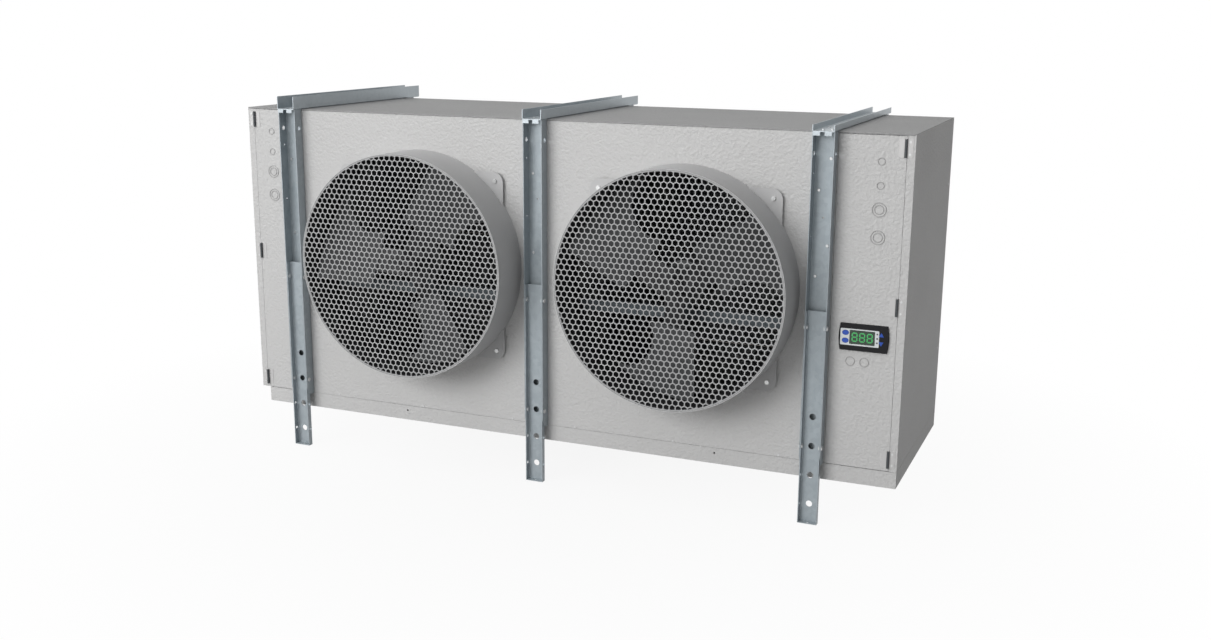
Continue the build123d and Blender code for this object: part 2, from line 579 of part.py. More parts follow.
def leg(leg_x, web_back, plane, outwards):
    """Add one leg to the piece being built: a bent channel with a foot and rows of holes."""
    with BuildSketch(plane) as leg_section:
        bent_channel(leg_section, LEG_W, LEG_D, CHANNEL_T)
    extrude(leg_section.sketch, amount=(LEG_TOP_UP + FLOOR_GAP) * -outwards)
    foot_x = (leg_x - LEG_W / 2 + CHANNEL_T, leg_x + LEG_W / 2 - CHANNEL_T)
    block(foot_x, (web_back + outwards * CHANNEL_T, web_back + outwards * LEG_D), (-FLOOR_GAP, CHANNEL_T - FLOOR_GAP))
    foot_point = (0, outwards * (LEG_D + CHANNEL_T) / 2)
    drill(facing_up(leg_x, web_back, CHANNEL_T - FLOOR_GAP), [foot_point], FOOT_HOLE_R, CHANNEL_T)
    web_face_back = web_back + min(outwards * CHANNEL_T, 0)
    web_points = [(0, LEG_HOLE_LOW_UP + step * LEG_HOLE_PITCH) for step in range(LEG_HOLES)]
    drill(facing_front(leg_x, web_face_back, 0), web_points, LEG_HOLE_R, CHANNEL_T)
    flange_back = web_back + outwards * LEG_D / 2
    flange_ups = LEG_BOLTS_UP + [LEG_HOLE_LOW_UP, LEG_HOLE_LOW_UP + LEG_HOLE_PITCH]
    flange_points = [(flange_back, up) for up in flange_ups]
    for face_x in (leg_x - LEG_W / 2 + CHANNEL_T, leg_x + LEG_W / 2):
        drill(facing_right(face_x), flange_points, LEG_BOLT_R + LEG_BOLT_FIT, CHANNEL_T)


FRONT_LEG_WEB = LEG_D - CHANNEL_D
REAR_LEG_WEB = CABINET_D + CHANNEL_D - LEG_D
for side, leg_x in CHANNEL_X.items():
    with BuildPart() as front_leg:
        leg(leg_x, FRONT_LEG_WEB, facing_down(leg_x, FRONT_LEG_WEB, LEG_TOP_UP), -1)
    front_leg.part.label = f"front_leg_{side}"
    export_step(front_leg.part, f"parts/front_leg_{side}.step")

with BuildPart() as rear_legs:
    for leg_x in CHANNEL_X.values():
        leg(leg_x, REAR_LEG_WEB, facing_up(leg_x, REAR_LEG_WEB, LEG_TOP_UP), 1)
rear_legs.part.label = "rear_legs"
export_step(rear_legs.part, "parts/rear_legs.step")

with BuildPart() as leg_bolts:
    wall = CHANNEL_T + LEG_FIT + CHANNEL_T
    for channel_x in CHANNEL_X.values():
        for bolt_back in (-CHANNEL_D + LEG_D / 2, CABINET_D + CHANNEL_D - LEG_D / 2):
            for outer_x, outwards in ((channel_x - CHANNEL_W / 2, -1), (channel_x + CHANNEL_W / 2, 1)):
                for bolt_up in LEG_BOLTS_UP:
                    with BuildSketch(facing_right(outer_x, bolt_back, bolt_up)):
                        RegularPolygon(LEG_BOLT_HEAD_R, 6, rotation=30)
                    extrude(amount=outwards * LEG_BOLT_HEAD_H)
                    with BuildSketch(facing_right(outer_x, bolt_back, bolt_up)):
                        Circle(LEG_BOLT_R)
                    extrude(amount=-outwards * wall)
                    with BuildSketch(facing_right(outer_x - outwards * wall, bolt_back, bolt_up)):
                        RegularPolygon(LEG_BOLT_HEAD_R, 6, rotation=30)
                    extrude(amount=-outwards * LEG_BOLT_HEAD_H)
leg_bolts.part.label = "leg_bolts"
export_step(leg_bolts.part, "parts/leg_bolts.step")

with BuildPart() as channel_rivets:
    for channel_x in CHANNEL_X.values():
        for column, drop in RIVETS:
            with BuildSketch(facing_front(channel_x + column * RIVET_COLUMN, -CHANNEL_T, CABINET_H - drop)):
                Circle(RIVET_R)
            extrude(amount=RIVET_H, taper=25)
channel_rivets.part.label = "channel_rivets"
export_step(channel_rivets.part, "parts/channel_rivets.step")

# ---- Fan collars: a flared barrel with an inner throat, on a square plate that stands off the panel ----
with BuildPart() as collar_form:
    with BuildSketch(Plane.XZ):
        with BuildLine():
            Polyline(
                (COLLAR_R, COLLAR_SEAT),
                (COLLAR_R, COLLAR_REACH),
                (COLLAR_R - COLLAR_WALL, COLLAR_REACH),
                (COLLAR_R - COLLAR_WALL, COLLAR_REACH - GUARD_T),
                (COLLAR_R - LEDGE_W, COLLAR_REACH - GUARD_T),
                (COLLAR_R - LEDGE_W, COLLAR_REACH - GUARD_T - COLLAR_WALL),
                (COLLAR_R - COLLAR_WALL, COLLAR_REACH - GUARD_T - COLLAR_WALL),
                (THROAT_R, THROAT_DEPTH),
                (THROAT_R, COLLAR_SEAT),
                close=True,
            )
        make_face()
    revolve(axis=Axis.Z)
    with BuildSketch(Plane.XY.offset(PLATE_STANDOFF)):
        RectangleRounded(PLATE_SIDE, PLATE_SIDE, PLATE_CORNER_R)
        Circle(COLLAR_R - COLLAR_WALL / 2, mode=Mode.SUBTRACT)
        with GridLocations(PLATE_BOLT_PITCH, PLATE_BOLT_PITCH, 2, 2):
            Circle(PLATE_BOLT_R, mode=Mode.SUBTRACT)
    extrude(amount=PLATE_T)

with BuildPart() as collar_bolt:
    with BuildSketch(Plane.XY.offset(PLATE_STANDOFF + PLATE_T)):
        RegularPolygon(BOLT_HEAD_R, 6)
    extrude(amount=BOLT_HEAD_H)
    with BuildSketch(Plane.XY.offset(-SHEET)):
        Circle(PLATE_BOLT_R - TUBE_FIT)
    extrude(amount=SHEET + PLATE_STANDOFF + PLATE_T)
    with BuildSketch(Plane.XY):
        RegularPolygon(SPACER_R, 8)
    extrude(amount=PLATE_STANDOFF)
    with BuildSketch(Plane.XY.offset(-SHEET)):
        RegularPolygon(SPACER_R, 6)
    extrude(amount=-BOLT_HEAD_H)

# ---- Fan guards: round plates punched with hexagons, point up, in staggered rows ----
GUARD_R = COLLAR_R - COLLAR_WALL - GUARD_FIT
HEX_ACROSS = GUARD_PITCH - GUARD_WEB
with BuildPart() as guard_form:
    with BuildSketch(Plane.XY.offset(COLLAR_REACH - GUARD_T)):
        Circle(GUARD_R)
        with BuildSketch(mode=Mode.PRIVATE) as punched:
            rows = 2 * int(GUARD_R / GUARD_PITCH) + 3
            with HexLocations(GUARD_PITCH / 2, rows, rows):
                RegularPolygon(HEX_ACROSS / 2, 6, major_radius=False, rotation=30)
            Circle(GUARD_R - GUARD_RIM, mode=Mode.INTERSECT)
        add(punched.sketch, mode=Mode.SUBTRACT)
    extrude(amount=GUARD_T)

# ---- Fans: three swept sheet blades riveted to the arms of a pressed spider, with a hub and shaft ----
TWIST = degrees(asin(FAN_TIP_R * 0.8 / BLADE_CAMBER_R))


def curved_sheet(front_r, rear_r):
    """Draw, in a sketch across the blade, the arc-shaped section between two radii of the camber."""
    facing = 270.0 + BLADE_PITCH_ANGLE
    middle = (
        BLADE_CAMBER_R * cos(radians(facing + 180)),
        BLADE_CAMBER_R * sin(radians(facing + 180)) - BLADE_BACK,
    )
    with BuildLine() as outline:
        front_arc = CenterArc(middle, front_r, facing - TWIST, 2 * TWIST)
        rear_arc = CenterArc(middle, rear_r, facing - TWIST, 2 * TWIST)
        Line(front_arc @ 0, rear_arc @ 0)
        Line(front_arc @ 1, rear_arc @ 1)
    make_face(outline.edges())


with BuildPart() as blade_form:
    with BuildSketch(Plane.YZ.offset(BLADE_ROOT_R / 2)):
        curved_sheet(BLADE_CAMBER_R, BLADE_CAMBER_R + BLADE_T)
    extrude(amount=FAN_TIP_R)
    with BuildSketch(Plane.XY):
        with BuildLine():
            Line(polar(BLADE_ROOT_R, 33), polar(BLADE_ROOT_R, -38))
            Spline(
                polar(BLADE_ROOT_R, -38),
                polar(FAN_TIP_R * 0.60, -23),
                polar(FAN_TIP_R * 0.80, -25),
                polar(FAN_TIP_R, -42),
            )
            ThreePointArc(polar(FAN_TIP_R, -42), polar(FAN_TIP_R, -14), polar(FAN_TIP_R, 14))
            Line(polar(FAN_TIP_R, 14), polar(BLADE_ROOT_R, 33))
        make_face()
    extrude(amount=COLLAR_REACH, mode=Mode.INTERSECT)

with BuildPart() as arm_form:
    with BuildSketch(Plane.YZ.offset(HUB_R / 2)):
        curved_sheet(BLADE_CAMBER_R + BLADE_T, BLADE_CAMBER_R + BLADE_T + SPIDER_T)
    extrude(amount=ARM_R - HUB_R / 2)
    with BuildSketch(Plane.XY):
        Rectangle(2 * ARM_R, ARM_W)
    extrude(amount=COLLAR_REACH, mode=Mode.INTERSECT)

with BuildPart() as hub_form:
    with BuildSketch(Plane.XY.offset(-BLADE_BACK - HUB_LENGTH / 2)):
        Circle(HUB_R)
    extrude(amount=HUB_LENGTH)
    with BuildSketch(Plane.XY.offset(-BLADE_BACK)):
        RegularPolygon(SPIDER_R, BLADE_COUNT)
    extrude(amount=SPIDER_T / 2, both=True)
    with BuildSketch(Plane.XY.offset(-MOTOR_BACK - SHAFT_IN_MOTOR)):
        Circle(SHAFT_R)
    extrude(amount=MOTOR_BACK + SHAFT_IN_MOTOR - BLADE_BACK)

# ---- Fan motors: a barrel with a boss in front and a cap behind, cradled on a bracket ----
with BuildPart() as motor_form:
    with BuildSketch(Plane.XY.offset(-MOTOR_BACK - MOTOR_LENGTH)):
        Circle(MOTOR_R)
    extrude(amount=MOTOR_LENGTH)
    with BuildSketch(Plane.XY.offset(-MOTOR_BACK)):
        Circle(MOTOR_BOSS_R)
    extrude(amount=MOTOR_BOSS_H)
    with BuildSketch(Plane.XY.offset(-MOTOR_BACK - MOTOR_LENGTH)):
        Circle(MOTOR_CAP_R)
    extrude(amount=-MOTOR_CAP_H, taper=20)
    with BuildSketch(Plane.XY.offset(MOTOR_BOSS_H - MOTOR_BACK)):
        Circle(SHAFT_R + SHAFT_FIT)
    extrude(amount=-MOTOR_BOSS_H - SHAFT_IN_MOTOR - TUBE_FIT, mode=Mode.SUBTRACT)

with BuildPart() as bracket_form:
    bracket_up = -MOTOR_R - BRACKET_DROP - BRACKET_H / 2
    bracket_half = PANEL_HOLE_R + BRACKET_LAP
    with BuildSketch(Plane.YZ.offset(-bracket_half)):
        with Locations((bracket_up, -SHEET)):
            Rectangle(BRACKET_H, BRACKET_D, align=(Align.CENTER, Align.MAX))
        with Locations((bracket_up, -SHEET - BRACKET_T)):
            Rectangle(BRACKET_H - 2 * BRACKET_T, BRACKET_D, align=(Align.CENTER, Align.MAX), mode=Mode.SUBTRACT)
    extrude(amount=2 * bracket_half)
    with BuildSketch(Plane.XY.offset(-MOTOR_BACK)):
        with Locations((0, bracket_up + BRACKET_H / 2)):
            Rectangle(CRADLE_W, BRACKET_DROP + MOTOR_R / 4, align=(Align.CENTER, Align.MIN))
        Circle(MOTOR_R, mode=Mode.SUBTRACT)
    extrude(amount=MOTOR_BACK - BRACKET_D)

# ---- Both fans, each set in front of its hole in the fan panel ----
for side, fan_x in FAN_X.items():
    fan_plane = facing_front(fan_x, 0, FAN_UP)
    with BuildPart(fan_plane) as fan_collar:
        add(collar_form.part)
    fan_collar.part.label = f"fan_collar_{side}"
    export_step(fan_collar.part, f"parts/fan_collar_{side}.step")

    with BuildPart(fan_plane) as fan_guard:
        add(guard_form.part)
    fan_guard.part.label = f"fan_guard_{side}"
    export_step(fan_guard.part, f"parts/fan_guard_{side}.step")

    with BuildPart(fan_plane) as fan_blades:
        with PolarLocations(0, BLADE_COUNT, start_angle=FAN_START_ANGLE[side]):
            add(blade_form.part)
    fan_blades.part.label = f"fan_blades_{side}"
    export_step(fan_blades.part, f"parts/fan_blades_{side}.step")

    with BuildPart(fan_plane) as fan_spider:
        with Locations(Rotation(0, 0, FAN_START_ANGLE[side])):
            add(hub_form.part)
        with PolarLocations(0, BLADE_COUNT, start_angle=FAN_START_ANGLE[side]):
            add(arm_form.part)
    fan_spider.part.label = f"fan_spider_{side}"
    export_step(fan_spider.part, f"parts/fan_spider_{side}.step")

    with BuildPart(fan_plane) as fan_motor:
        add(motor_form.part)
    fan_motor.part.label = f"fan_motor_{side}"
    export_step(fan_motor.part, f"parts/fan_motor_{side}.step")

    with BuildPart(fan_plane) as motor_bracket:
        add(bracket_form.part)
    motor_bracket.part.label = f"motor_bracket_{side}"
    export_step(motor_bracket.part, f"parts/motor_bracket_{side}.step")

with BuildPart() as collar_bolts:
    for fan_x in FAN_X.values():
        for across in (-PLATE_BOLT_PITCH / 2, PLATE_BOLT_PITCH / 2):
            for up in (-PLATE_BOLT_PITCH / 2, PLATE_BOLT_PITCH / 2):
                bolt_plane = facing_front(fan_x + across, 0, FAN_UP + up)
                with Locations(bolt_plane.location):
                    add(collar_bolt.part)
collar_bolts.part.label = "collar_bolts"
export_step(collar_bolts.part, "parts/collar_bolts.step")

# ---- End doors: shallow folded pans; the right one carries the controller ----
DOOR_UP = (PANEL_BOTTOM + DOOR_HINGE_GAP, PANEL_TOP - DOOR_HINGE_GAP)
DOORS_X = {
    "left": (LEFT_X + POST_W + DOOR_HINGE_GAP, SEAM_LEFT + SEAM / 2 - DOOR_GAP),
    "right": (SEAM_RIGHT - SEAM / 2 + DOOR_GAP, RIGHT_X - POST_W - DOOR_HINGE_GAP),
}
for side, door_x in DOORS_X.items():
    with BuildPart() as door:
        block(door_x, (0, DOOR_RETURN), DOOR_UP)
        inner_x = (door_x[0] + SHEET, door_x[1] - SHEET)
        block(inner_x, (SHEET, DOOR_RETURN), (DOOR_UP[0] + SHEET, DOOR_UP[1] - SHEET), Mode.SUBTRACT)
        if side == "right":
            cutout_w = CONTROL_BODY_W + 2 * CONTROL_BODY_FIT
            cutout_h = CONTROL_BODY_H + 2 * CONTROL_BODY_FIT
            with BuildSketch(facing_front(CONTROL_X, 0, CONTROL_UP)):
                Rectangle(cutout_w, cutout_h)
            extrude(amount=-SHEET, mode=Mode.SUBTRACT)
    door.part.label = f"door_{side}"
    export_step(door.part, f"parts/door_{side}.step")

# ---- Door hinges: a fixed leaf with two knuckles, a moving leaf with one, and a pin ----
THIRD = HINGE_LENGTH / 3
KNUCKLES = {
    "fixed": ((-THIRD, THIRD - KNUCKLE_GAP), (THIRD, THIRD - KNUCKLE_GAP)),
    "moving": ((0, THIRD - KNUCKLE_GAP),),
}


def hinge_leaf(kind, towards):
    """Draw one hinge leaf into the piece being built: the axis is local z, the face behind is local -y."""
    edge = HINGE_R + HINGE_FACE_GAP
    face = -HINGE_R - HINGE_FACE_GAP
    lift = HINGE_FACE_GAP if kind == "fixed" else 0.0
    with Locations((towards * (edge + HINGE_LEAF_W) / 2, face + HINGE_LEAF_T / 2, 0)):
        Box(HINGE_LEAF_W - edge, HINGE_LEAF_T, HINGE_LENGTH)
    for middle, length in KNUCKLES[kind]:
        with Locations((towards * edge / 2, face + (HINGE_LEAF_T + lift) / 2, middle)):
            Box(edge, HINGE_LEAF_T - lift, length)
        with Locations((0, 0, middle)):
            Cylinder(HINGE_R, length)
            Cylinder(HINGE_PIN_R + HINGE_PIN_FIT, length, mode=Mode.SUBTRACT)


with BuildPart() as fixed_leaf:
    hinge_leaf("fixed", -1)
with BuildPart() as moving_leaf:
    hinge_leaf("moving", 1)
with BuildPart() as hinge_pin:
    Cylinder(HINGE_PIN_R, HINGE_LENGTH)


def door_hinge_planes(side):
    """Planes on the hinge axes of one door; local x points from the post to the door."""
    sign = -1 if side == "left" else 1
    planes = []
    for hinge_up in HINGE_UP:
        origin = at(sign * HINGE_AXIS_X, HINGE_AXIS_BACK, hinge_up)
        planes.append(Plane(origin=origin, x_dir=(-sign, 0, 0), z_dir=(0, 0, sign)))
    return planes


for side in DOORS_X:
    with BuildPart() as door_leaf:
        for hinge_plane in door_hinge_planes(side):
            with Locations(hinge_plane.location):
                add(moving_leaf.part)
    door_leaf.part.label = f"hinge_leaf_door_{side}"
    export_step(door_leaf.part, f"parts/hinge_leaf_door_{side}.step")

# ---- Drain pan: folded sheet under the whole cabinet, hung from two hinges behind ----
DRAIN_POINT = (PAN_X[0] + DRAIN_X_INSET, CABINET_D - DRAIN_BACK_INSET)
with BuildPart() as drain_pan:
    block(PAN_X, (0, CABINET_D), (0, PAN_H))
    inner_x = (PAN_X[0] + SHEET, PAN_X[1] - SHEET)
    block(inner_x, WALL_BACK, (SHEET, PAN_H), Mode.SUBTRACT)
    drill(facing_up(0, 0, SHEET), [DRAIN_POINT], DRAIN_BORE_R, SHEET)
    pan_holes = [(fan_x + PAN_HOLES[side], 0) for side, fan_x in FAN_X.items()]
    drill(facing_front(0, 0, PAN_HOLE_UP), pan_holes, PAN_HOLE_R, SHEET)
drain_pan.part.label = "drain_pan"
export_step(drain_pan.part, "parts/drain_pan.step")

with BuildPart() as drain_fitting:
    with BuildSketch(facing_down(DRAIN_POINT[0], DRAIN_POINT[1], 0)) as nut:
        RegularPolygon(DRAIN_NUT_R, 6)
    extrude(amount=DRAIN_NUT_H)
    with BuildSketch(facing_down(DRAIN_POINT[0], DRAIN_POINT[1], 0)):
        Circle(DRAIN_R)
    extrude(amount=DRAIN_LENGTH)
    with BuildSketch(facing_down(DRAIN_POINT[0], DRAIN_POINT[1], 0)):
        Circle(DRAIN_BORE_R)
    extrude(amount=DRAIN_LENGTH, mode=Mode.SUBTRACT)
drain_fitting.part.label = "drain_fitting"
export_step(drain_fitting.part, "parts/drain_fitting.step")

PAN_HINGE_PLANES = []
for hinge_x in PAN_HINGES_X:
    hinge_origin = at(hinge_x, CABINET_D - HINGE_AXIS_BACK, PAN_H + PAN_GAP / 2)
    PAN_HINGE_PLANES.append(Plane(origin=hinge_origin, x_dir=(0, 0, -1), z_dir=(1, 0, 0)))

with BuildPart() as hinge_leaf_pan:
    for hinge_plane in PAN_HINGE_PLANES:
        with Locations(hinge_plane.location):
            add(moving_leaf.part)
hinge_leaf_pan.part.label = "hinge_leaf_pan"
export_step(hinge_leaf_pan.part, "parts/hinge_leaf_pan.step")

ALL_HINGE_PLANES = door_hinge_planes("left") + door_hinge_planes("right") + PAN_HINGE_PLANES
with BuildPart() as hinge_leaves_fixed:
    for hinge_plane in ALL_HINGE_PLANES:
        with Locations(hinge_plane.location):
            add(fixed_leaf.part)
hinge_leaves_fixed.part.label = "hinge_leaves_fixed"
export_step(hinge_leaves_fixed.part, "parts/hinge_leaves_fixed.step")

with BuildPart() as hinge_pins:
    for hinge_plane in ALL_HINGE_PLANES:
        with Locations(hinge_plane.location):
            add(hinge_pin.part)
hinge_pins.part.label = "hinge_pins"
export_step(hinge_pins.part, "parts/hinge_pins.step")

# ---- Controller on the right door: a bezel with a window and four sprung keys ----
KEY_UPS = (FACE_RISE + KEY_ROW, FACE_RISE - KEY_ROW)
KEYS = {
    "button_set": (-KEY_COLUMN, KEY_UPS[0]),
    "button_back": (-KEY_COLUMN, KEY_UPS[1]),
    "button_up": (KEY_COLUMN, KEY_UPS[0]),
    "button_down": (KEY_COLUMN, KEY_UPS[1]),
}
KEY_DEPTH = KEY_T - KEY_PROUD
STEM_END = CONTROL_T - KEY_DEPTH - KEY_STEM_LENGTH


def key_outline(name, allowance):
    """Draw one key's outline, or its hole's with an allowance, in the sketch being built."""
    with Locations(KEYS[name]):
        if KEYS[name][0] < 0:
            Ellipse(OVAL_W / 2 + allowance, OVAL_H / 2 + allowance)
        else:
            turn = 90 if name == "button_up" else -90
            RegularPolygon(ARROW_R + 2 * allowance, 3, rotation=turn)


control_plane = facing_front(CONTROL_X, 0, CONTROL_UP)
with BuildPart() as controller_bezel:
    with BuildSketch(control_plane):
        half_w = CONTROL_W / 2
        half_h = CONTROL_H / 2
        with BuildLine():
            Line((CONTROL_BOW - half_w, half_h), (half_w - CONTROL_BOW, half_h))
            ThreePointArc((half_w - CONTROL_BOW, half_h), (half_w, 0), (half_w - CONTROL_BOW, -half_h))
            Line((half_w - CONTROL_BOW, -half_h), (CONTROL_BOW - half_w, -half_h))
            ThreePointArc((CONTROL_BOW - half_w, -half_h), (-half_w, 0), (CONTROL_BOW - half_w, half_h))
        make_face()
    extrude(amount=CONTROL_T, taper=CONTROL_TAPER)
    with BuildSketch(control_plane):
        Rectangle(CONTROL_BODY_W, CONTROL_BODY_H)
    extrude(amount=-CONTROL_BODY_D)
    with BuildSketch(control_plane.offset(CONTROL_T)):
        with Locations((WINDOW_SHIFT, FACE_RISE)):
            Rectangle(WINDOW_W, WINDOW_H)
    extrude(amount=-WINDOW_T, mode=Mode.SUBTRACT)
    with BuildSketch(control_plane.offset(CONTROL_T)):
        for key_name in KEYS:
            key_outline(key_name, KEY_FIT)
    extrude(amount=-KEY_DEPTH - KEY_TRAVEL - KEY_STOP, mode=Mode.SUBTRACT)
    with BuildSketch(control_plane.offset(STEM_END - KEY_TRAVEL - KEY_STOP)):
        with Locations(*KEYS.values()):
            Circle(KEY_STEM_R + KEY_STEM_FIT)
    extrude(amount=CONTROL_T - STEM_END, mode=Mode.SUBTRACT)
controller_bezel.part.label = "controller_bezel"
export_step(controller_bezel.part, "parts/controller_bezel.step")

with BuildPart() as display_window:
    with BuildSketch(control_plane.offset(CONTROL_T - WINDOW_T)):
        with Locations((WINDOW_SHIFT, FACE_RISE)):
            Rectangle(WINDOW_W, WINDOW_H)
    extrude(amount=WINDOW_T)
display_window.part.label = "display_window"
export_step(display_window.part, "parts/display_window.step")

for key_name, key_point in KEYS.items():
    with BuildPart() as key:
        with BuildSketch(control_plane.offset(CONTROL_T - KEY_DEPTH)):
            key_outline(key_name, 0)
        extrude(amount=KEY_T)
        with BuildSketch(control_plane.offset(STEM_END)):
            with Locations(key_point):
                Circle(KEY_STEM_R)
        extrude(amount=KEY_STEM_LENGTH)
    key.part.label = key_name
    export_step(key.part, f"parts/{key_name}.step")

# ---- Terminal box on the right partition, and the small screws ----
with BuildPart() as terminal_box:
    box_back = (TERMINAL_BACK, TERMINAL_BACK + TERMINAL_D)
    box_up = (TERMINAL_UP, TERMINAL_UP + TERMINAL_H)
    lid_x = RIGHT_WALL_X[1] + TERMINAL_W
    block((RIGHT_WALL_X[1], lid_x), box_back, box_up)
    lid_back = (box_back[0] - SHEET, box_back[1] + SHEET)
    lid_up = (box_up[0] - SHEET, box_up[1] + SHEET)
    block((lid_x - LID_H, lid_x + SHEET), lid_back, lid_up)
terminal_box.part.label = "terminal_box"
export_step(terminal_box.part, "parts/terminal_box.step")

with BuildPart() as panel_screws:
    with BuildSketch(facing_front(0, 0, PANEL_BOTTOM + SEAM_SCREW_RISE)):
        for side, fan_x in FAN_X.items():
            with Locations(*[(fan_x + across, 0) for across in SEAM_SCREWS[side]]):
                RegularPolygon(PANEL_SCREW_R, 6)
    extrude(amount=PANEL_SCREW_H)
    leaf_screws = []
    for hinge_up in HINGE_UP:
        for turn in (-HINGE_LENGTH / 3, HINGE_LENGTH / 3):
            for leaf_x in (-LEAF_SCREW_X, LEAF_SCREW_X):
                leaf_screws.append((leaf_x, hinge_up + turn))
    with BuildSketch(facing_front(0, -HINGE_LEAF_T, 0)):
        with Locations(*leaf_screws):
            RegularPolygon(PANEL_SCREW_R, 6)
    extrude(amount=PANEL_SCREW_H)
    for end_x in (LEFT_X, RIGHT_X):
        with BuildSketch(facing_right(end_x)):
            with Locations(*[(CABINET_D - END_SCREW_INSET, up) for up in END_SCREWS_UP]):
                RegularPolygon(PANEL_SCREW_R, 6)
        extrude(amount=PANEL_SCREW_H if end_x > 0 else -PANEL_SCREW_H)
panel_screws.part.label = "panel_screws"
export_step(panel_screws.part, "parts/panel_screws.step")
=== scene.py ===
import json
import math

import bmesh
import bpy
from mathutils import Matrix, Vector


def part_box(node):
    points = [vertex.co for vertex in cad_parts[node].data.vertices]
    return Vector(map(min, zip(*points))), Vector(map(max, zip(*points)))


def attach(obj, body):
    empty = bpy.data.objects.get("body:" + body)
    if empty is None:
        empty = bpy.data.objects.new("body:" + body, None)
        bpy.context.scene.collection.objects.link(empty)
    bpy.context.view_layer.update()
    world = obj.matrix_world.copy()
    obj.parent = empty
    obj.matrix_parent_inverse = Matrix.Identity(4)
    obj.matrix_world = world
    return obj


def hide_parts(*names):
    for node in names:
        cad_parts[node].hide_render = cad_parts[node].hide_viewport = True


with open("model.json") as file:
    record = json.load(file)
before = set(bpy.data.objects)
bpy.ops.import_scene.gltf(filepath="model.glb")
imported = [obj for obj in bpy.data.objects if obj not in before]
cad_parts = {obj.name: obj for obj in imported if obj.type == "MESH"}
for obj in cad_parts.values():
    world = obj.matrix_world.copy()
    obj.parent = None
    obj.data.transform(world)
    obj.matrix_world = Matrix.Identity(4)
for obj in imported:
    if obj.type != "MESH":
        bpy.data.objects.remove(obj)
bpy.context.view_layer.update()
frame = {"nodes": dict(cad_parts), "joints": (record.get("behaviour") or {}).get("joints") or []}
nodes = frame["nodes"]


# The cabinet is folded from mill-finish aluminium sheet with a fine pebbled emboss, left bare.
# Panels, doors, partitions, covers and the drain pan are all cut from it; the top gets a darker copy
# of the sheet, painted shade for the dark surroundings it reflects. The screws and hinges come later with
# their own finishes.
class Wire:
    """One output of a shader node. Arithmetic on wires and numbers adds Math nodes."""

    def __init__(self, surface, socket):
        self.surface = surface
        self.socket = socket

    def calculate(self, operation, *values):
        inputs = dict(enumerate(values))
        return self.surface.add("ShaderNodeMath", 0, inputs, operation=operation)

    def __add__(self, other):
        return self.calculate("ADD", self, other)

    def __radd__(self, other):
        return self.calculate("ADD", other, self)

    def __sub__(self, other):
        return self.calculate("SUBTRACT", self, other)

    def __rsub__(self, other):
        return self.calculate("SUBTRACT", other, self)

    def __mul__(self, other):
        return self.calculate("MULTIPLY", self, other)

    def __rmul__(self, other):
        return self.calculate("MULTIPLY", other, self)

    def __pow__(self, other):
        return self.calculate("POWER", self, other)

    def __gt__(self, other):
        return self.calculate("GREATER_THAN", self, other)

    def __abs__(self):
        return self.calculate("ABSOLUTE", self)


class Surface:
    """A finish under construction: a Principled shader and the nodes that feed it."""

    def __init__(self, name, **constants):
        self.material = bpy.data.materials.new(name)
        self.material.use_nodes = True
        self.tree = self.material.node_tree
        self.shader = self.tree.nodes["Principled BSDF"]
        for socket, value in constants.items():
            self.shader.inputs[socket.replace("_", " ")].default_value = value

    def add(self, kind, output, inputs=None, stops=None, **settings):
        node = self.tree.nodes.new(kind)
        for setting, value in settings.items():
            setattr(node, setting, value)
        for place, colour in stops or ():
            stop = node.color_ramp.elements.new(place)
            stop.color = (*colour, 1)
        if stops:
            node.color_ramp.elements.remove(node.color_ramp.elements[0])
            node.color_ramp.elements.remove(node.color_ramp.elements[-1])
        for name, value in (inputs or {}).items():
            if isinstance(value, Wire):
                self.tree.links.new(value.socket, node.inputs[name])
            else:
                node.inputs[name].default_value = value
        return Wire(self, node.outputs[output])

    def place(self):
        return self.add("ShaderNodeTexCoord", "Object")

    def noise(self, scale, detail=2.0, roughness=0.5, at=None):
        inputs = {"Vector": at or self.place(), "Scale": scale, "Detail": detail, "Roughness": roughness}
        return self.add("ShaderNodeTexNoise", 0, inputs)

    def cells(self, scale, output="Distance", at=None, **settings):
        inputs = {"Vector": at or self.place(), "Scale": scale}
        return self.add("ShaderNodeTexVoronoi", output, inputs, **settings)

    def stretched(self, x, y, z):
        inputs = {0: self.place(), 1: (x, y, z)}
        return self.add("ShaderNodeVectorMath", 0, inputs, operation="MULTIPLY")

    def mixed(self, factor, *colours):
        first, second = (colour if isinstance(colour, Wire) else (*colour, 1) for colour in colours)
        return self.add("ShaderNodeMix", 2, {0: factor, 6: first, 7: second}, data_type="RGBA")

    def feed(self, **wires):
        for socket, wire in wires.items():
            self.tree.links.new(wire.socket, self.shader.inputs[socket.replace("_", " ")])

    def bump(self, height, distance, strength=1.0):
        inputs = {"Height": height, "Distance": distance, "Strength": strength}
        self.feed(Normal=self.add("ShaderNodeBump", 0, inputs))


def dress(finish, *names):
    """Give CAD nodes, or pieces made here, one finish."""
    for name in names:
        piece = nodes[name] if isinstance(name, str) else name
        piece.data.materials.clear()
        piece.data.materials.append(finish.material)


def embossed_sheet(name, light, dark, metal, roughness):
    sheet = Surface(name, Metallic=metal, Specular_IOR_Level=0.14)
    pebbles = sheet.noise(105.0, detail=1.0)
    fine = sheet.noise(420.0, detail=2.0)
    cloud = sheet.noise(2.3, detail=4.0, roughness=0.6)
    sheet.feed(Base_Color=sheet.mixed(cloud * 0.45 + pebbles * 0.3, light, dark))
    sheet.feed(Roughness=roughness + 0.1 * cloud + 0.08 * fine)
    sheet.bump(pebbles + 0.3 * fine, 0.0032, 0.85)
    return sheet


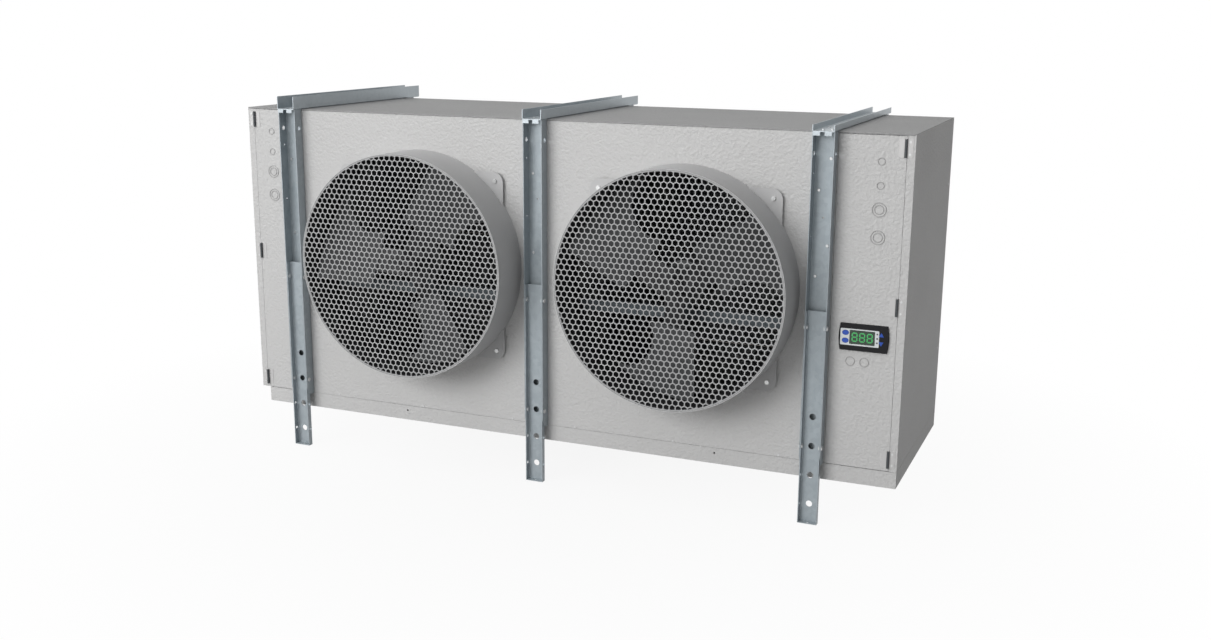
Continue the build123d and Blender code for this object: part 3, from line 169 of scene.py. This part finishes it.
cabinet_finish = embossed_sheet("embossed_sheet", (0.56, 0.558, 0.555), (0.47, 0.468, 0.466), 0.06, 0.46)
dress(
    cabinet_finish,
    "fan_panel_left",
    "fan_panel_right",
    "end_panel_left",
    "end_panel_right",
    "door_left",
    "door_right",
    "drain_pan",
    "partition_left",
    "partition_centre",
    "partition_right",
    "rear_cover_left",
    "rear_cover_right",
)
# The top's sheet is darker than the rest: painted shade for the dark surroundings the top reflects.
top_finish_painted_shade = embossed_sheet("embossed_top_painted_shade", (0.31, 0.31, 0.31), (0.24, 0.24, 0.24), 0.1, 0.42)
dress(top_finish_painted_shade, "top_panel")


# Conduit knockouts are half-sheared discs in the two end doors: each shows as a raised ring where
# the punch stopped. Standard sizes are used, and the larger ones are concentric pairs.
KNOCKOUT_X = 1.157
KNOCKOUTS = ((1.2198, (0.0111,)), (1.1436, (0.0111,)), (1.0674, (0.0222, 0.0143)), (0.9785, (0.0222, 0.0143)))
LOWER_KNOCKOUTS = ((1.089, 0.567), (1.135, 0.567))
LOWER_KNOCKOUT_R = 0.0143
RING_W = 0.0030
RING_H = 0.0024


def ring(radius, width, height, segments=48):
    """A low ring with a rounded crown, lying in the XZ plane and standing up towards -Y."""
    form = bmesh.new()
    shoulder = -height * 0.8
    profile = [(-width / 2, 0), (-width / 4, shoulder), (0, -height), (width / 4, shoulder), (width / 2, 0)]
    loops = []
    for step in range(segments):
        angle = 2 * math.pi * step / segments
        direction = Vector((math.cos(angle), 0, math.sin(angle)))
        section = [direction * (radius + across) + Vector((0, out, 0)) for across, out in profile]
        loops.append([form.verts.new(point) for point in section])
    for step in range(segments):
        here, there = loops[step], loops[(step + 1) % segments]
        for i in range(len(profile) - 1):
            form.faces.new((here[i], here[i + 1], there[i + 1], there[i]))
    bmesh.ops.recalc_face_normals(form, faces=form.faces)
    return form


def linked(name, mesh):
    piece = bpy.data.objects.new(name, mesh)
    bpy.context.scene.collection.objects.link(piece)
    return piece


def settle(form, name, place=(0, 0, 0), smooth=True):
    """Turn a finished form into an object whose mesh is placed in the row frame."""
    mesh = bpy.data.meshes.new(name)
    form.to_mesh(mesh)
    form.free()
    mesh.transform(Matrix.Translation(place))
    for face in mesh.polygons:
        face.use_smooth = smooth
    return linked(name, mesh)


def joined(forms):
    """One form out of several (form, place) pairs."""
    whole = bmesh.new()
    for form, place in forms:
        bmesh.ops.translate(form, verts=form.verts, vec=Vector(place))
        part = bpy.data.meshes.new("part")
        form.to_mesh(part)
        form.free()
        whole.from_mesh(part)
        bpy.data.meshes.remove(part)
    return whole


# The knockout rings are coloured darker than the sheet: painted shade for the shadow in the groove around
# each pressed disc.
knockout_ring_painted_shade = Surface("knockout_ring_painted_shade", Specular_IOR_Level=0.2)
burr = knockout_ring_painted_shade.noise(300.0, detail=2.0)
knockout_ring_painted_shade.feed(Base_Color=knockout_ring_painted_shade.mixed(burr, (0.34, 0.338, 0.336), (0.44, 0.438, 0.436)))
knockout_ring_painted_shade.feed(Roughness=0.3 + 0.2 * burr)
knockout_ring_painted_shade.bump(burr, 0.0002, 0.3)

for side, sign in (("left", -1), ("right", 1)):
    door_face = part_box(f"door_{side}")[0].y
    rings = []
    for height, radii in KNOCKOUTS:
        for radius in radii:
            rings.append((ring(radius, RING_W, RING_H), (sign * KNOCKOUT_X, door_face, height)))
    if side == "right":
        for x, height in LOWER_KNOCKOUTS:
            rings.append((ring(LOWER_KNOCKOUT_R, RING_W, RING_H), (x, door_face, height)))
    knockouts = settle(joined(rings), f"knockouts_{side}")
    dress(knockout_ring_painted_shade, knockouts)
    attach(knockouts, f"door_{side}")


# Hanger rails, channels and legs are brake-formed from galvanised steel. The zinc shows a faint
# crystal spangle and long rolling streaks, and it reflects a little blue.
def galvanised(name, metal, dark, light, streak_run):
    zinc = Surface(name, Metallic=metal)
    spangle = zinc.add("ShaderNodeSeparateColor", 0, {0: zinc.cells(70.0, "Color")})
    streaks = zinc.noise(9.0, detail=5.0, roughness=0.62, at=zinc.stretched(*streak_run))
    zinc.feed(Base_Color=zinc.mixed(0.45 * spangle + 0.55 * streaks, dark, light))
    zinc.feed(Roughness=0.30 + 0.12 * spangle + 0.12 * streaks)
    zinc.bump(streaks + 0.4 * spangle, 0.0003, 0.35)
    return zinc


STREAKS_ALONG_RAIL = (9.0, 0.5, 9.0)
STREAKS_UPRIGHT = (9.0, 9.0, 0.5)
# The rails get a lighter, more metallic copy of the zinc than the channels and legs: painted light for the
# rails' brighter lit faces.
RAIL_COLOURS_PAINTED_LIGHT = ((0.36, 0.40, 0.425), (0.46, 0.50, 0.525))
rail_zinc = galvanised("galvanised_rail", 0.65, *RAIL_COLOURS_PAINTED_LIGHT, STREAKS_ALONG_RAIL)
dress(rail_zinc, "hanger_rail_left", "hanger_rail_centre", "hanger_rail_right")
CHANNEL_COLOURS = ((0.27, 0.31, 0.335), (0.37, 0.41, 0.435))
channel_zinc = galvanised("galvanised_channel", 0.3, *CHANNEL_COLOURS, STREAKS_UPRIGHT)
dress(
    channel_zinc,
    "front_channel_left",
    "front_channel_centre",
    "front_channel_right",
    "rear_channels",
    "front_leg_left",
    "front_leg_centre",
    "front_leg_right",
    "rear_legs",
)


# Screws, rivets and bolts are zinc plated: brighter than the sheet around them, with a fine
# turned grain.
plated = Surface("plated_fasteners", Metallic=0.9)
grain = plated.noise(900.0, detail=2.0)
plated.feed(Base_Color=plated.mixed(grain, (0.50, 0.51, 0.52), (0.70, 0.70, 0.69)))
plated.feed(Roughness=0.22 + 0.2 * grain)
plated.bump(grain, 0.0001, 0.4)
dress(plated, "channel_rivets", "rail_screws", "leg_bolts", "collar_bolts", "panel_screws", "hinge_pins")


# Hinges are pressed steel butt hinges. Their leaves are coated with the cabinet's own colour and
# their knuckles, which stand proud of both faces of the cabinet, are coloured near-black.
LEAF_T = 0.0016
cabinet_low, cabinet_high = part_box("end_panel_left")
cabinet_middle = (cabinet_low.y + cabinet_high.y) / 2
cabinet_half = (cabinet_high.y - cabinet_low.y) / 2
hinge_steel = Surface("hinge_steel", Metallic=0.3)
pressing = hinge_steel.noise(260.0, detail=4.0)
across = hinge_steel.add("ShaderNodeSeparateXYZ", 1, {0: hinge_steel.place()})
proud = abs(across - cabinet_middle) > cabinet_half + LEAF_T
leaf_colour = hinge_steel.mixed(pressing, (0.47, 0.465, 0.465), (0.53, 0.525, 0.52))
hinge_steel.feed(Base_Color=hinge_steel.mixed(proud, leaf_colour, (0.055, 0.06, 0.065)))
hinge_steel.feed(Roughness=0.3 + 0.2 * pressing)
hinge_steel.bump(pressing, 0.0002, 0.3)
dress(hinge_steel, "hinge_leaves_fixed", "hinge_leaf_door_left", "hinge_leaf_door_right", "hinge_leaf_pan")


# Fan collars are spun steel with a satin grey coat, welded to a square base plate. The coat is
# smooth beside the embossed cabinet, and the throat inside the guard's edge is painted near-black:
# painted shade for the dark inside of the throat behind the guard.
THROAT_FIT = 0.0008
THROAT_PAINTED_SHADE = (0.03, 0.03, 0.032)
collar_coat = Surface("collar_coat", Specular_IOR_Level=0.12)
collar_peel = collar_coat.noise(160.0, detail=3.0)
collar_cloud = collar_coat.noise(3.1, detail=3.0)
barrel_colour = collar_coat.mixed(collar_cloud, (0.44, 0.44, 0.442), (0.51, 0.51, 0.513))
guard_low, guard_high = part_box("fan_guard_left")
other_low, other_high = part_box("fan_guard_right")
guard_radius = (guard_high.x - guard_low.x) / 2
height = collar_coat.add("ShaderNodeSeparateXYZ", 2, {0: collar_coat.place()})
rise = height - (guard_low.z + guard_high.z) / 2
sideways = collar_coat.add("ShaderNodeSeparateXYZ", 0, {0: collar_coat.place()})
to_left = abs(sideways - (guard_low.x + guard_high.x) / 2)
to_right = abs(sideways - (other_low.x + other_high.x) / 2)
run = to_left.calculate("MINIMUM", to_left, to_right)
# Inside the guard's edge the coat turns near-black: painted shade for the throat's dark inside.
outside = (rise * rise + run * run) ** 0.5 > guard_radius + THROAT_FIT
collar_coat.feed(Base_Color=collar_coat.mixed(outside, THROAT_PAINTED_SHADE, barrel_colour))
collar_coat.feed(Roughness=0.36 + 0.12 * collar_cloud)
collar_coat.bump(collar_peel, 0.0004, 0.3)
dress(collar_coat, "fan_collar_left", "fan_collar_right")


# Each fan guard is a round steel plate punched all over with hexagons, point up, in staggered
# rows, with a plain rim. It lies on the collar's ledge, flush with the collar's front edge.
GUARD_PITCH = 0.0214
GUARD_ROW = 0.01855
HEXAGON_ACROSS = 0.0178
GUARD_RIM = 0.004
GUARD_T = 0.003


def circle_points(radius, count, start=0.0):
    steps = [start + 2 * math.pi * i / count for i in range(count)]
    return [(radius * math.cos(a), radius * math.sin(a)) for a in steps]


def trimmed(points, radius):
    """The part of a small convex outline that lies inside a circle about the origin."""
    kept = []
    for i, (x, y) in enumerate(points):
        before_x, before_y = points[i - 1]
        inside = math.hypot(x, y) <= radius
        if inside != (math.hypot(before_x, before_y) <= radius):
            low, high = 0.0, 1.0
            for _ in range(24):
                middle = (low + high) / 2
                mx, my = before_x + (x - before_x) * middle, before_y + (y - before_y) * middle
                if (math.hypot(mx, my) <= radius) == inside:
                    high = middle
                else:
                    low = middle
            kept.append((before_x + (x - before_x) * high, before_y + (y - before_y) * high))
        if inside:
            kept.append((x, y))
    return kept


def area(points):
    return abs(sum(points[i - 1][0] * y - x * points[i - 1][1] for i, (x, y) in enumerate(points))) / 2


def punched_plate(name, outlines, thickness):
    """A plate with holes. Outlines are in the XZ plane; its rear face is at Y 0 and it stands to -Y."""
    curve = bpy.data.curves.new(name, "CURVE")
    curve.dimensions = "2D"
    curve.fill_mode = "BOTH"
    curve.extrude = thickness / 2
    for points in outlines:
        spline = curve.splines.new("POLY")
        spline.points.add(len(points) - 1)
        for point, (x, y) in zip(spline.points, points):
            point.co = (x, y, 0, 1)
        spline.use_cyclic_u = True
    drawn = bpy.data.objects.new(name, curve)
    mesh = bpy.data.meshes.new_from_object(drawn)
    bpy.data.objects.remove(drawn)
    bpy.data.curves.remove(curve)
    mesh.transform(Matrix.Rotation(math.pi / 2, 4, "X"))
    mesh.transform(Matrix.Translation((0, -thickness / 2, 0)))
    mesh.name = name
    return mesh


guard_metal = Surface("punched_guard", Specular_IOR_Level=0.15)
guard_noise = guard_metal.noise(210.0, detail=3.0)
guard_cloud = guard_metal.noise(4.0, detail=2.0)
guard_metal.feed(Base_Color=guard_metal.mixed(guard_cloud, (0.35, 0.353, 0.356), (0.42, 0.423, 0.426)))
guard_metal.feed(Roughness=0.3 + 0.2 * guard_noise)
guard_metal.bump(guard_noise, 0.0002, 0.4)

guard_cut = guard_radius - GUARD_RIM
guard_outlines = [circle_points(guard_radius, 128)]
rows = int(guard_radius / GUARD_ROW) + 1
columns = int(guard_radius / GUARD_PITCH) + 1
for row in range(-rows, rows + 1):
    shift = GUARD_PITCH / 2 if row % 2 else 0.0
    for column in range(-columns, columns + 1):
        middle_x = column * GUARD_PITCH + shift
        middle_y = row * GUARD_ROW
        hexagon = circle_points(HEXAGON_ACROSS / math.sqrt(3), 6, math.pi / 6)
        hexagon = trimmed([(middle_x + x, middle_y + y) for x, y in hexagon], guard_cut)
        if len(hexagon) > 2 and area(hexagon) > 0.15 * HEXAGON_ACROSS**2:
            guard_outlines.append(hexagon)
guard_mesh = punched_plate("guard_plate", guard_outlines, GUARD_T)
for side in ("left", "right"):
    low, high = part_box(f"fan_guard_{side}")
    mesh = guard_mesh.copy()
    middle = ((low.x + high.x) / 2, low.y + GUARD_T, (low.z + high.z) / 2)
    mesh.transform(Matrix.Translation(middle))
    guard = linked(f"punched_guard_{side}", mesh)
    dress(guard_metal, guard)
    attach(guard, "cabinet")
    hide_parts(f"fan_guard_{side}")


# Fan blades are plain aluminium sheet, riveted to a black pressed spider that is fixed to the
# shaft by its hub. Each blade has six rivets where the spider's arm lies behind it.
# The blade sheet is coloured near-black, far darker than bare aluminium: painted shade for the shade inside
# the throat.
blade_sheet_painted_shade = Surface("blade_sheet_painted_shade", Specular_IOR_Level=0.1)
blade_cloud = blade_sheet_painted_shade.noise(6.0, detail=4.0)
blade_grain = blade_sheet_painted_shade.noise(300.0, detail=2.0)
blade_sheet_painted_shade.feed(Base_Color=blade_sheet_painted_shade.mixed(blade_cloud, (0.105, 0.107, 0.110), (0.075, 0.077, 0.080)))
blade_sheet_painted_shade.feed(Roughness=0.45 + 0.15 * blade_grain)
blade_sheet_painted_shade.bump(blade_grain, 0.0001, 0.3)
dress(blade_sheet_painted_shade, "fan_blades_left", "fan_blades_right")

spider_black = Surface("spider_black", Metallic=0.3)
spider_peel = spider_black.noise(240.0, detail=3.0)
spider_black.feed(Base_Color=spider_black.mixed(spider_peel, (0.012, 0.012, 0.014), (0.035, 0.035, 0.037)))
spider_black.feed(Roughness=0.35 + 0.2 * spider_peel)
spider_black.bump(spider_peel, 0.0002, 0.4)
dress(spider_black, "fan_spider_left", "fan_spider_right")

FAN_AXES = {}
for joint in frame["joints"]:
    if joint["name"].startswith("fan_"):
        FAN_AXES[joint["child"][4:]] = Vector(joint["pos_m"])
HUB_CAP_R = 0.026
HUB_CAP_H = 0.012
HUB_CAP_AHEAD = 0.023  # cap's seat in front of the fan's joint


def dome(radius, height, segments=20, rings=4):
    """A shallow domed button that stands up towards -Y."""
    form = bmesh.new()
    loops = []
    for step in range(rings):
        tilt = math.pi / 2 * step / rings
        loop = []
        for x, z in circle_points(radius * math.cos(tilt), segments):
            loop.append(form.verts.new((x, -height * math.sin(tilt), z)))
        loops.append(loop)
    crown = form.verts.new((0, -height, 0))
    for below, above in zip(loops, loops[1:]):
        for i in range(segments):
            form.faces.new((below[i - 1], below[i], above[i], above[i - 1]))
    for i in range(segments):
        form.faces.new((loops[-1][i - 1], loops[-1][i], crown))
    bmesh.ops.recalc_face_normals(form, faces=form.faces)
    return form


for side, axis in FAN_AXES.items():
    cap = settle(dome(HUB_CAP_R, HUB_CAP_H), f"hub_cap_{side}", (axis.x, axis.y - HUB_CAP_AHEAD, axis.z))
    dress(spider_black, cap)
    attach(cap, f"fan_{side}")


# Fan motors are enclosed in a smooth dark barrel with a boss in front and a cap behind. A steel
# bracket carries each one across its throat.
motor_paint = Surface("motor_paint", Metallic=0.2)
motor_peel = motor_paint.noise(120.0, detail=4.0)
motor_paint.feed(Base_Color=motor_paint.mixed(motor_peel, (0.07, 0.073, 0.075), (0.12, 0.125, 0.128)))
motor_paint.feed(Roughness=0.4 + 0.2 * motor_peel)
motor_paint.bump(motor_peel, 0.0006, 0.4)
dress(motor_paint, "fan_motor_left", "fan_motor_right")

bracket_steel = Surface("bracket_steel", Metallic=0.1, Specular_IOR_Level=0.15)
bracket_cloud = bracket_steel.noise(40.0, detail=4.0)
bracket_steel.feed(Base_Color=bracket_steel.mixed(bracket_cloud, (0.075, 0.09, 0.10), (0.11, 0.125, 0.135)))
bracket_steel.feed(Roughness=0.4 + 0.2 * bracket_cloud)
bracket_steel.bump(bracket_cloud, 0.0002, 0.3)
dress(bracket_steel, "motor_bracket_left", "motor_bracket_right")


# The coil is a deep block of thin aluminium fins pressed on copper tubes. The fins are wavy
# across their depth and stand a few millimetres apart between the partitions.
FIN_PITCH = 0.0052
FIN_T = 0.0005
FIN_WAVES = 3
FIN_WAVE_DEPTH = 0.0025
CENTRE_GAP = 0.004  # fins to the middle of the centre partition
fin_metal = Surface("fin_metal", Metallic=0.7)
fin_cloud = fin_metal.noise(14.0, detail=3.0, at=fin_metal.stretched(1.0, 1.0, 0.3))
fin_metal.feed(Base_Color=fin_metal.mixed(fin_cloud, (0.48, 0.49, 0.50), (0.62, 0.63, 0.64)))
fin_metal.feed(Roughness=0.3 + 0.15 * fin_cloud)
fin_metal.bump(fin_cloud, 0.0004, 0.3)

fins_low, fins_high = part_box("coil_fins")
wall_middle = (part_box("partition_left")[0].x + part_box("partition_right")[1].x) / 2
fins = bmesh.new()
for start, end in ((fins_low.x, wall_middle - CENTRE_GAP), (wall_middle + CENTRE_GAP, fins_high.x)):
    first, last = start + FIN_WAVE_DEPTH + FIN_T, end - FIN_WAVE_DEPTH - FIN_T
    count = int((last - first) / FIN_PITCH)
    for number in range(count + 1):
        x = first + (last - first) * number / count
        before = None
        for step in range(FIN_WAVES * 4 + 1):
            wave = x + FIN_WAVE_DEPTH * math.sin(math.pi * step / 2)
            y = fins_low.y + (fins_high.y - fins_low.y) * step / (FIN_WAVES * 4)
            low, high = fins_low.z, fins_high.z
            corners = ((wave, y, low), (wave, y, high), (wave + FIN_T, y, high), (wave + FIN_T, y, low))
            section = [fins.verts.new(corner) for corner in corners]
            if before:
                for i in range(4):
                    fins.faces.new((before[i - 1], section[i - 1], section[i], before[i]))
            else:
                fins.faces.new(section)
            before = section
        fins.faces.new(before[::-1])
bmesh.ops.recalc_face_normals(fins, faces=fins.faces)
coil = settle(fins, "coil_fin_pack", smooth=False)
dress(fin_metal, coil)
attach(coil, "cabinet")
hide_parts("coil_fins")

copper = Surface("copper_tube", Metallic=0.85)
tarnish = copper.noise(22.0, detail=5.0, roughness=0.6)
copper.feed(Base_Color=copper.mixed(tarnish, (0.74, 0.36, 0.22), (0.40, 0.19, 0.12)))
copper.feed(Roughness=0.22 + 0.3 * tarnish)
copper.bump(tarnish, 0.0003, 0.2)
dress(copper, "coil_tubes", "suction_header", "liquid_line", "distributor")

heater_sheath = Surface("heater_sheath", Metallic=0.8)
scale_marks = heater_sheath.noise(60.0, detail=4.0)
heater_sheath.feed(Base_Color=heater_sheath.mixed(scale_marks, (0.32, 0.30, 0.28), (0.18, 0.16, 0.15)))
heater_sheath.feed(Roughness=0.35 + 0.2 * scale_marks)
heater_sheath.bump(scale_marks, 0.0002, 0.3)
dress(heater_sheath, "defrost_heaters")

turned_brass = Surface("turned_brass", Metallic=0.9)
turning = turned_brass.noise(30.0, detail=3.0, at=turned_brass.stretched(1.0, 1.0, 30.0))
turned_brass.feed(Base_Color=turned_brass.mixed(turning, (0.62, 0.44, 0.16), (0.48, 0.33, 0.12)))
turned_brass.feed(Roughness=0.25 + 0.2 * turning)
turned_brass.bump(turning, 0.0002, 0.3)
dress(turned_brass, "drain_fitting")

box_enamel = Surface("box_enamel", Metallic=0.1)
enamel_peel = box_enamel.noise(150.0, detail=3.0)
box_enamel.feed(Base_Color=box_enamel.mixed(enamel_peel, (0.27, 0.28, 0.29), (0.33, 0.34, 0.35)))
box_enamel.feed(Roughness=0.4 + 0.15 * enamel_peel)
box_enamel.bump(enamel_peel, 0.0003, 0.3)
dress(box_enamel, "terminal_box")


# The controller is a moulded black case with bowed ends, clipped through the right door. A pale
# printed plate surrounds its window and the two oval keys, and two arrow keys stand at the right.
case_black = Surface("controller_case", Specular_IOR_Level=0.15)
case_grain = case_black.noise(700.0, detail=2.0)
case_black.feed(Base_Color=case_black.mixed(case_grain, (0.006, 0.006, 0.007), (0.018, 0.018, 0.020)))
case_black.feed(Roughness=0.4 + 0.15 * case_grain)
case_black.bump(case_grain, 0.0001, 0.4)
dress(case_black, "controller_bezel")

key_film = Surface("key_film")
key_grain = key_film.noise(500.0, detail=2.0)
key_film.feed(Base_Color=key_film.mixed(key_grain, (0.01, 0.055, 0.36), (0.02, 0.09, 0.48)))
key_film.feed(Roughness=0.3 + 0.15 * key_grain)
key_film.bump(key_grain, 0.0001, 0.3)
dress(key_film, "button_set", "button_back", "button_up", "button_down")

pale_plate = Surface("pale_plate")
plate_grain = pale_plate.noise(600.0, detail=2.0)
pale_plate.feed(Base_Color=pale_plate.mixed(plate_grain, (0.60, 0.63, 0.64), (0.68, 0.70, 0.71)))
pale_plate.feed(Roughness=0.4 + 0.1 * plate_grain)
pale_plate.bump(plate_grain, 0.00005, 0.3)

window_dark = Surface("window_dark", Coat_Weight=0.5)
window_cloud = window_dark.noise(90.0, detail=2.0)
window_dark.feed(Base_Color=window_dark.mixed(window_cloud, (0.004, 0.02, 0.008), (0.006, 0.035, 0.012)))
window_dark.feed(Roughness=0.12 + 0.06 * window_cloud)
dress(window_dark, "display_window")

lit_green = Surface("lit_green", Emission_Strength=0.55, Roughness=0.4)
lit_spread = lit_green.noise(400.0, detail=1.0)
lit_green.feed(Base_Color=lit_green.mixed(lit_spread, (0.03, 0.24, 0.07), (0.05, 0.30, 0.09)))
lit_green.feed(Emission_Color=lit_green.mixed(lit_spread, (0.03, 0.24, 0.07), (0.05, 0.30, 0.09)))

case_low, case_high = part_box("controller_bezel")
case_x = (case_low.x + case_high.x) / 2
case_z = (case_low.z + case_high.z) / 2
window_low, window_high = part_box("display_window")
PLATE_T = 0.0004
PLATE_SPAN_X = (-0.0745, 0.051)
PLATE_SPAN_Z = (-0.026, 0.029)
PLATE_EDGE = 0.0008
PLATE_CORNER = 0.003
WINDOW_CORNER = 0.0015
PRINT_T = 0.0003  # numerals and lamps


def rounded(low_x, high_x, low_z, high_z, radius, steps=5):
    """A rectangle's outline with round corners."""
    points = []
    corners = (
        (high_x - radius, high_z - radius, 0),
        (low_x + radius, high_z - radius, 90),
        (low_x + radius, low_z + radius, 180),
        (high_x - radius, low_z + radius, 270),
    )
    for x, z, start in corners:
        for step in range(steps + 1):
            angle = math.radians(start + 90 * step / steps)
            points.append((x + radius * math.cos(angle), z + radius * math.sin(angle)))
    return points


plate_outlines = [rounded(*PLATE_SPAN_X, *PLATE_SPAN_Z, PLATE_CORNER)]
plate_outlines.append(
    rounded(
        window_low.x - case_x - PLATE_EDGE,
        window_high.x - case_x + PLATE_EDGE,
        window_low.z - case_z - PLATE_EDGE,
        window_high.z - case_z + PLATE_EDGE,
        WINDOW_CORNER,
    )
)
for key in ("button_set", "button_back"):
    key_low, key_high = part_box(key)
    half_x = (key_high.x - key_low.x) / 2 + PLATE_EDGE
    half_z = (key_high.z - key_low.z) / 2 + PLATE_EDGE
    key_x = (key_low.x + key_high.x) / 2 - case_x
    key_z = (key_low.z + key_high.z) / 2 - case_z
    plate_outlines.append([(key_x + half_x * x, key_z + half_z * z) for x, z in circle_points(1.0, 40)])
plate_mesh = punched_plate("controller_plate", plate_outlines, PLATE_T)
plate_mesh.transform(Matrix.Translation((case_x, case_low.y, case_z)))
face_plate = linked("controller_plate", plate_mesh)
dress(pale_plate, face_plate)
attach(face_plate, "door_right")

DIGIT_W = 0.0155
DIGIT_H = 0.027
DIGIT_STEP = 0.0245
STROKE = 0.0040
SEGMENT_GAP = 0.0006


def bar(x, z, length, upright):
    """One lit bar of a numeral: a long hexagon."""
    half, thick = length / 2 - SEGMENT_GAP, STROKE / 2
    flat = half - thick
    points = [(-half, 0), (-flat, thick), (flat, thick), (half, 0), (flat, -thick), (-flat, -thick)]
    if upright:
        points = [(-b, a) for a, b in points]
    return [(x + a, z + b) for a, b in points]


bars = []
window_x = (window_low.x + window_high.x) / 2 - case_x
window_z = (window_low.z + window_high.z) / 2 - case_z
for place in (-1, 0, 1):
    digit_x = window_x + place * DIGIT_STEP
    for height in (-DIGIT_H / 2, 0, DIGIT_H / 2):
        bars.append(bar(digit_x, window_z + height, DIGIT_W, False))
    for across in (-DIGIT_W / 2, DIGIT_W / 2):
        for height in (-DIGIT_H / 4, DIGIT_H / 4):
            bars.append(bar(digit_x + across, window_z + height, DIGIT_H / 2, True))
digits_mesh = punched_plate("lit_numerals", bars, PRINT_T)
digits_mesh.transform(Matrix.Translation((case_x, window_low.y, case_z)))
digits = linked("lit_numerals", digits_mesh)
dress(lit_green, digits)
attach(digits, "door_right")

LAMP_SIDE = 0.0048
LAMP_X = 0.0425
LAMP_HEIGHTS = (0.0158, 0.0012, -0.0134)
LAMP_CORNER = 0.0006
lamp_outlines = []
for height in LAMP_HEIGHTS:
    lamp_outlines.append(rounded(LAMP_X, LAMP_X + LAMP_SIDE, height, height + LAMP_SIDE, LAMP_CORNER, 2))
lamps_mesh = punched_plate("indicator_lamps", lamp_outlines, PRINT_T)
lamps_mesh.transform(Matrix.Translation((case_x, case_low.y - PLATE_T, case_z)))
indicator_lamps = linked("indicator_lamps", lamps_mesh)
dress(case_black, indicator_lamps)
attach(indicator_lamps, "door_right")


# The studio is a white floor in a white surround. The eye sees both as plain white, with the soft
# shadow of the feet kept near them, and the surround lights the unit more from the left and front.
class Studio(Surface):
    """A finish for the floor or the surround: its real light, and the even white that the eye sees."""

    def __init__(self, name, holder, end):
        self.tree = holder.node_tree
        self.end = self.tree.nodes[end]

    def blended(self, factor, first, second):
        return self.add("ShaderNodeMixShader", 0, {0: factor, 1: first, 2: second})

    def seen(self):
        camera = self.add("ShaderNodeLightPath", "Is Camera Ray")
        glossy = self.add("ShaderNodeLightPath", "Is Glossy Ray")
        clear = self.add("ShaderNodeLightPath", "Is Transmission Ray")
        looking = camera + glossy + clear
        return looking.calculate("MINIMUM", looking, 1.0)

    def finish(self, shader):
        self.tree.links.new(shader.socket, self.end.inputs["Surface"])


WHITE = (1, 1, 1, 1)
floor_form = bmesh.new()
bmesh.ops.create_grid(floor_form, x_segments=2, y_segments=2, size=30.0)
floor = settle(floor_form, "floor", smooth=False)
floor_white = bpy.data.materials.new("floor_white")
floor_white.use_nodes = True
ground = Studio("floor", floor_white, "Material Output")
paint = ground.add("ShaderNodeBsdfDiffuse", 0, {"Color": (0.5, 0.5, 0.5, 1)})
glow = ground.add("ShaderNodeEmission", 0, {"Color": WHITE, "Strength": 1.0})
distance = ground.add("ShaderNodeVectorMath", "Value", {0: ground.place()}, operation="LENGTH")
whiteness = 0.9 + 0.04 * distance
share = whiteness.calculate("MINIMUM", whiteness, 1.0)
ground.finish(ground.blended(share * ground.seen(), paint, glow))
floor.data.materials.append(floor_white)

world = bpy.data.worlds.new("surround")
bpy.context.scene.world = world
world.use_nodes = True
sky = Studio("surround", world, "World Output")
dark_side = sky.add("ShaderNodeBackground", 0, {"Color": WHITE, "Strength": 0.08})
bright_side = sky.add("ShaderNodeBackground", 0, {"Color": WHITE, "Strength": 0.9})
eye_white = sky.add("ShaderNodeBackground", 0, {"Color": WHITE, "Strength": 1.0})
direction = sky.add("ShaderNodeTexCoord", "Generated")
towards_light = {0: direction, 1: (-0.4, -0.22, 0.05)}
brightness = 0.36 + sky.add("ShaderNodeVectorMath", "Value", towards_light, operation="DOT_PRODUCT")
lit = sky.blended(brightness.calculate("MAXIMUM", brightness, 0.0), dark_side, bright_side)
sky.finish(sky.blended(sky.seen(), lit, eye_white))


def soft_lamp(name, place, target, size, energy):
    lamp = bpy.data.lights.new(name, "AREA")
    lamp.shape = "RECTANGLE"
    lamp.size, lamp.size_y = size
    lamp.energy = energy
    piece = bpy.data.objects.new(name, lamp)
    direction = Vector(target) - Vector(place)
    piece.matrix_world = Matrix.Translation(place) @ direction.to_track_quat("-Z", "Y").to_matrix().to_4x4()
    bpy.context.scene.collection.objects.link(piece)


soft_lamp("key_lamp", (-4.0, -9.0, 4.0), (0, 0, 0.6), (7.0, 5.0), 650.0)
soft_lamp("top_lamp", (-0.4, -1.8, 4.6), (0, -0.2, 0.6), (4.0, 2.0), 34.0)

camera_data = bpy.data.cameras.new("camera")
camera_data.lens = 38.95
camera_data.sensor_width = 36.0
camera = bpy.data.objects.new("camera", camera_data)
yaw, pitch, roll = 0.3999, 0.2306, 0.0067
forward = Vector((-math.sin(yaw) * math.cos(pitch), math.cos(yaw) * math.cos(pitch), -math.sin(pitch)))
right = Vector((math.cos(yaw), math.sin(yaw), 0))
up = right.cross(forward)
right_rolled = math.cos(roll) * right + math.sin(roll) * up
up_rolled = math.cos(roll) * up - math.sin(roll) * right
turn = Matrix((right_rolled, up_rolled, -forward)).transposed().to_4x4()
camera.matrix_world = Matrix.Translation((1.9612, -4.4481, 1.6676)) @ turn
bpy.context.scene.collection.objects.link(camera)
bpy.context.scene.camera = camera
bpy.context.scene.view_settings.view_transform = "Standard"
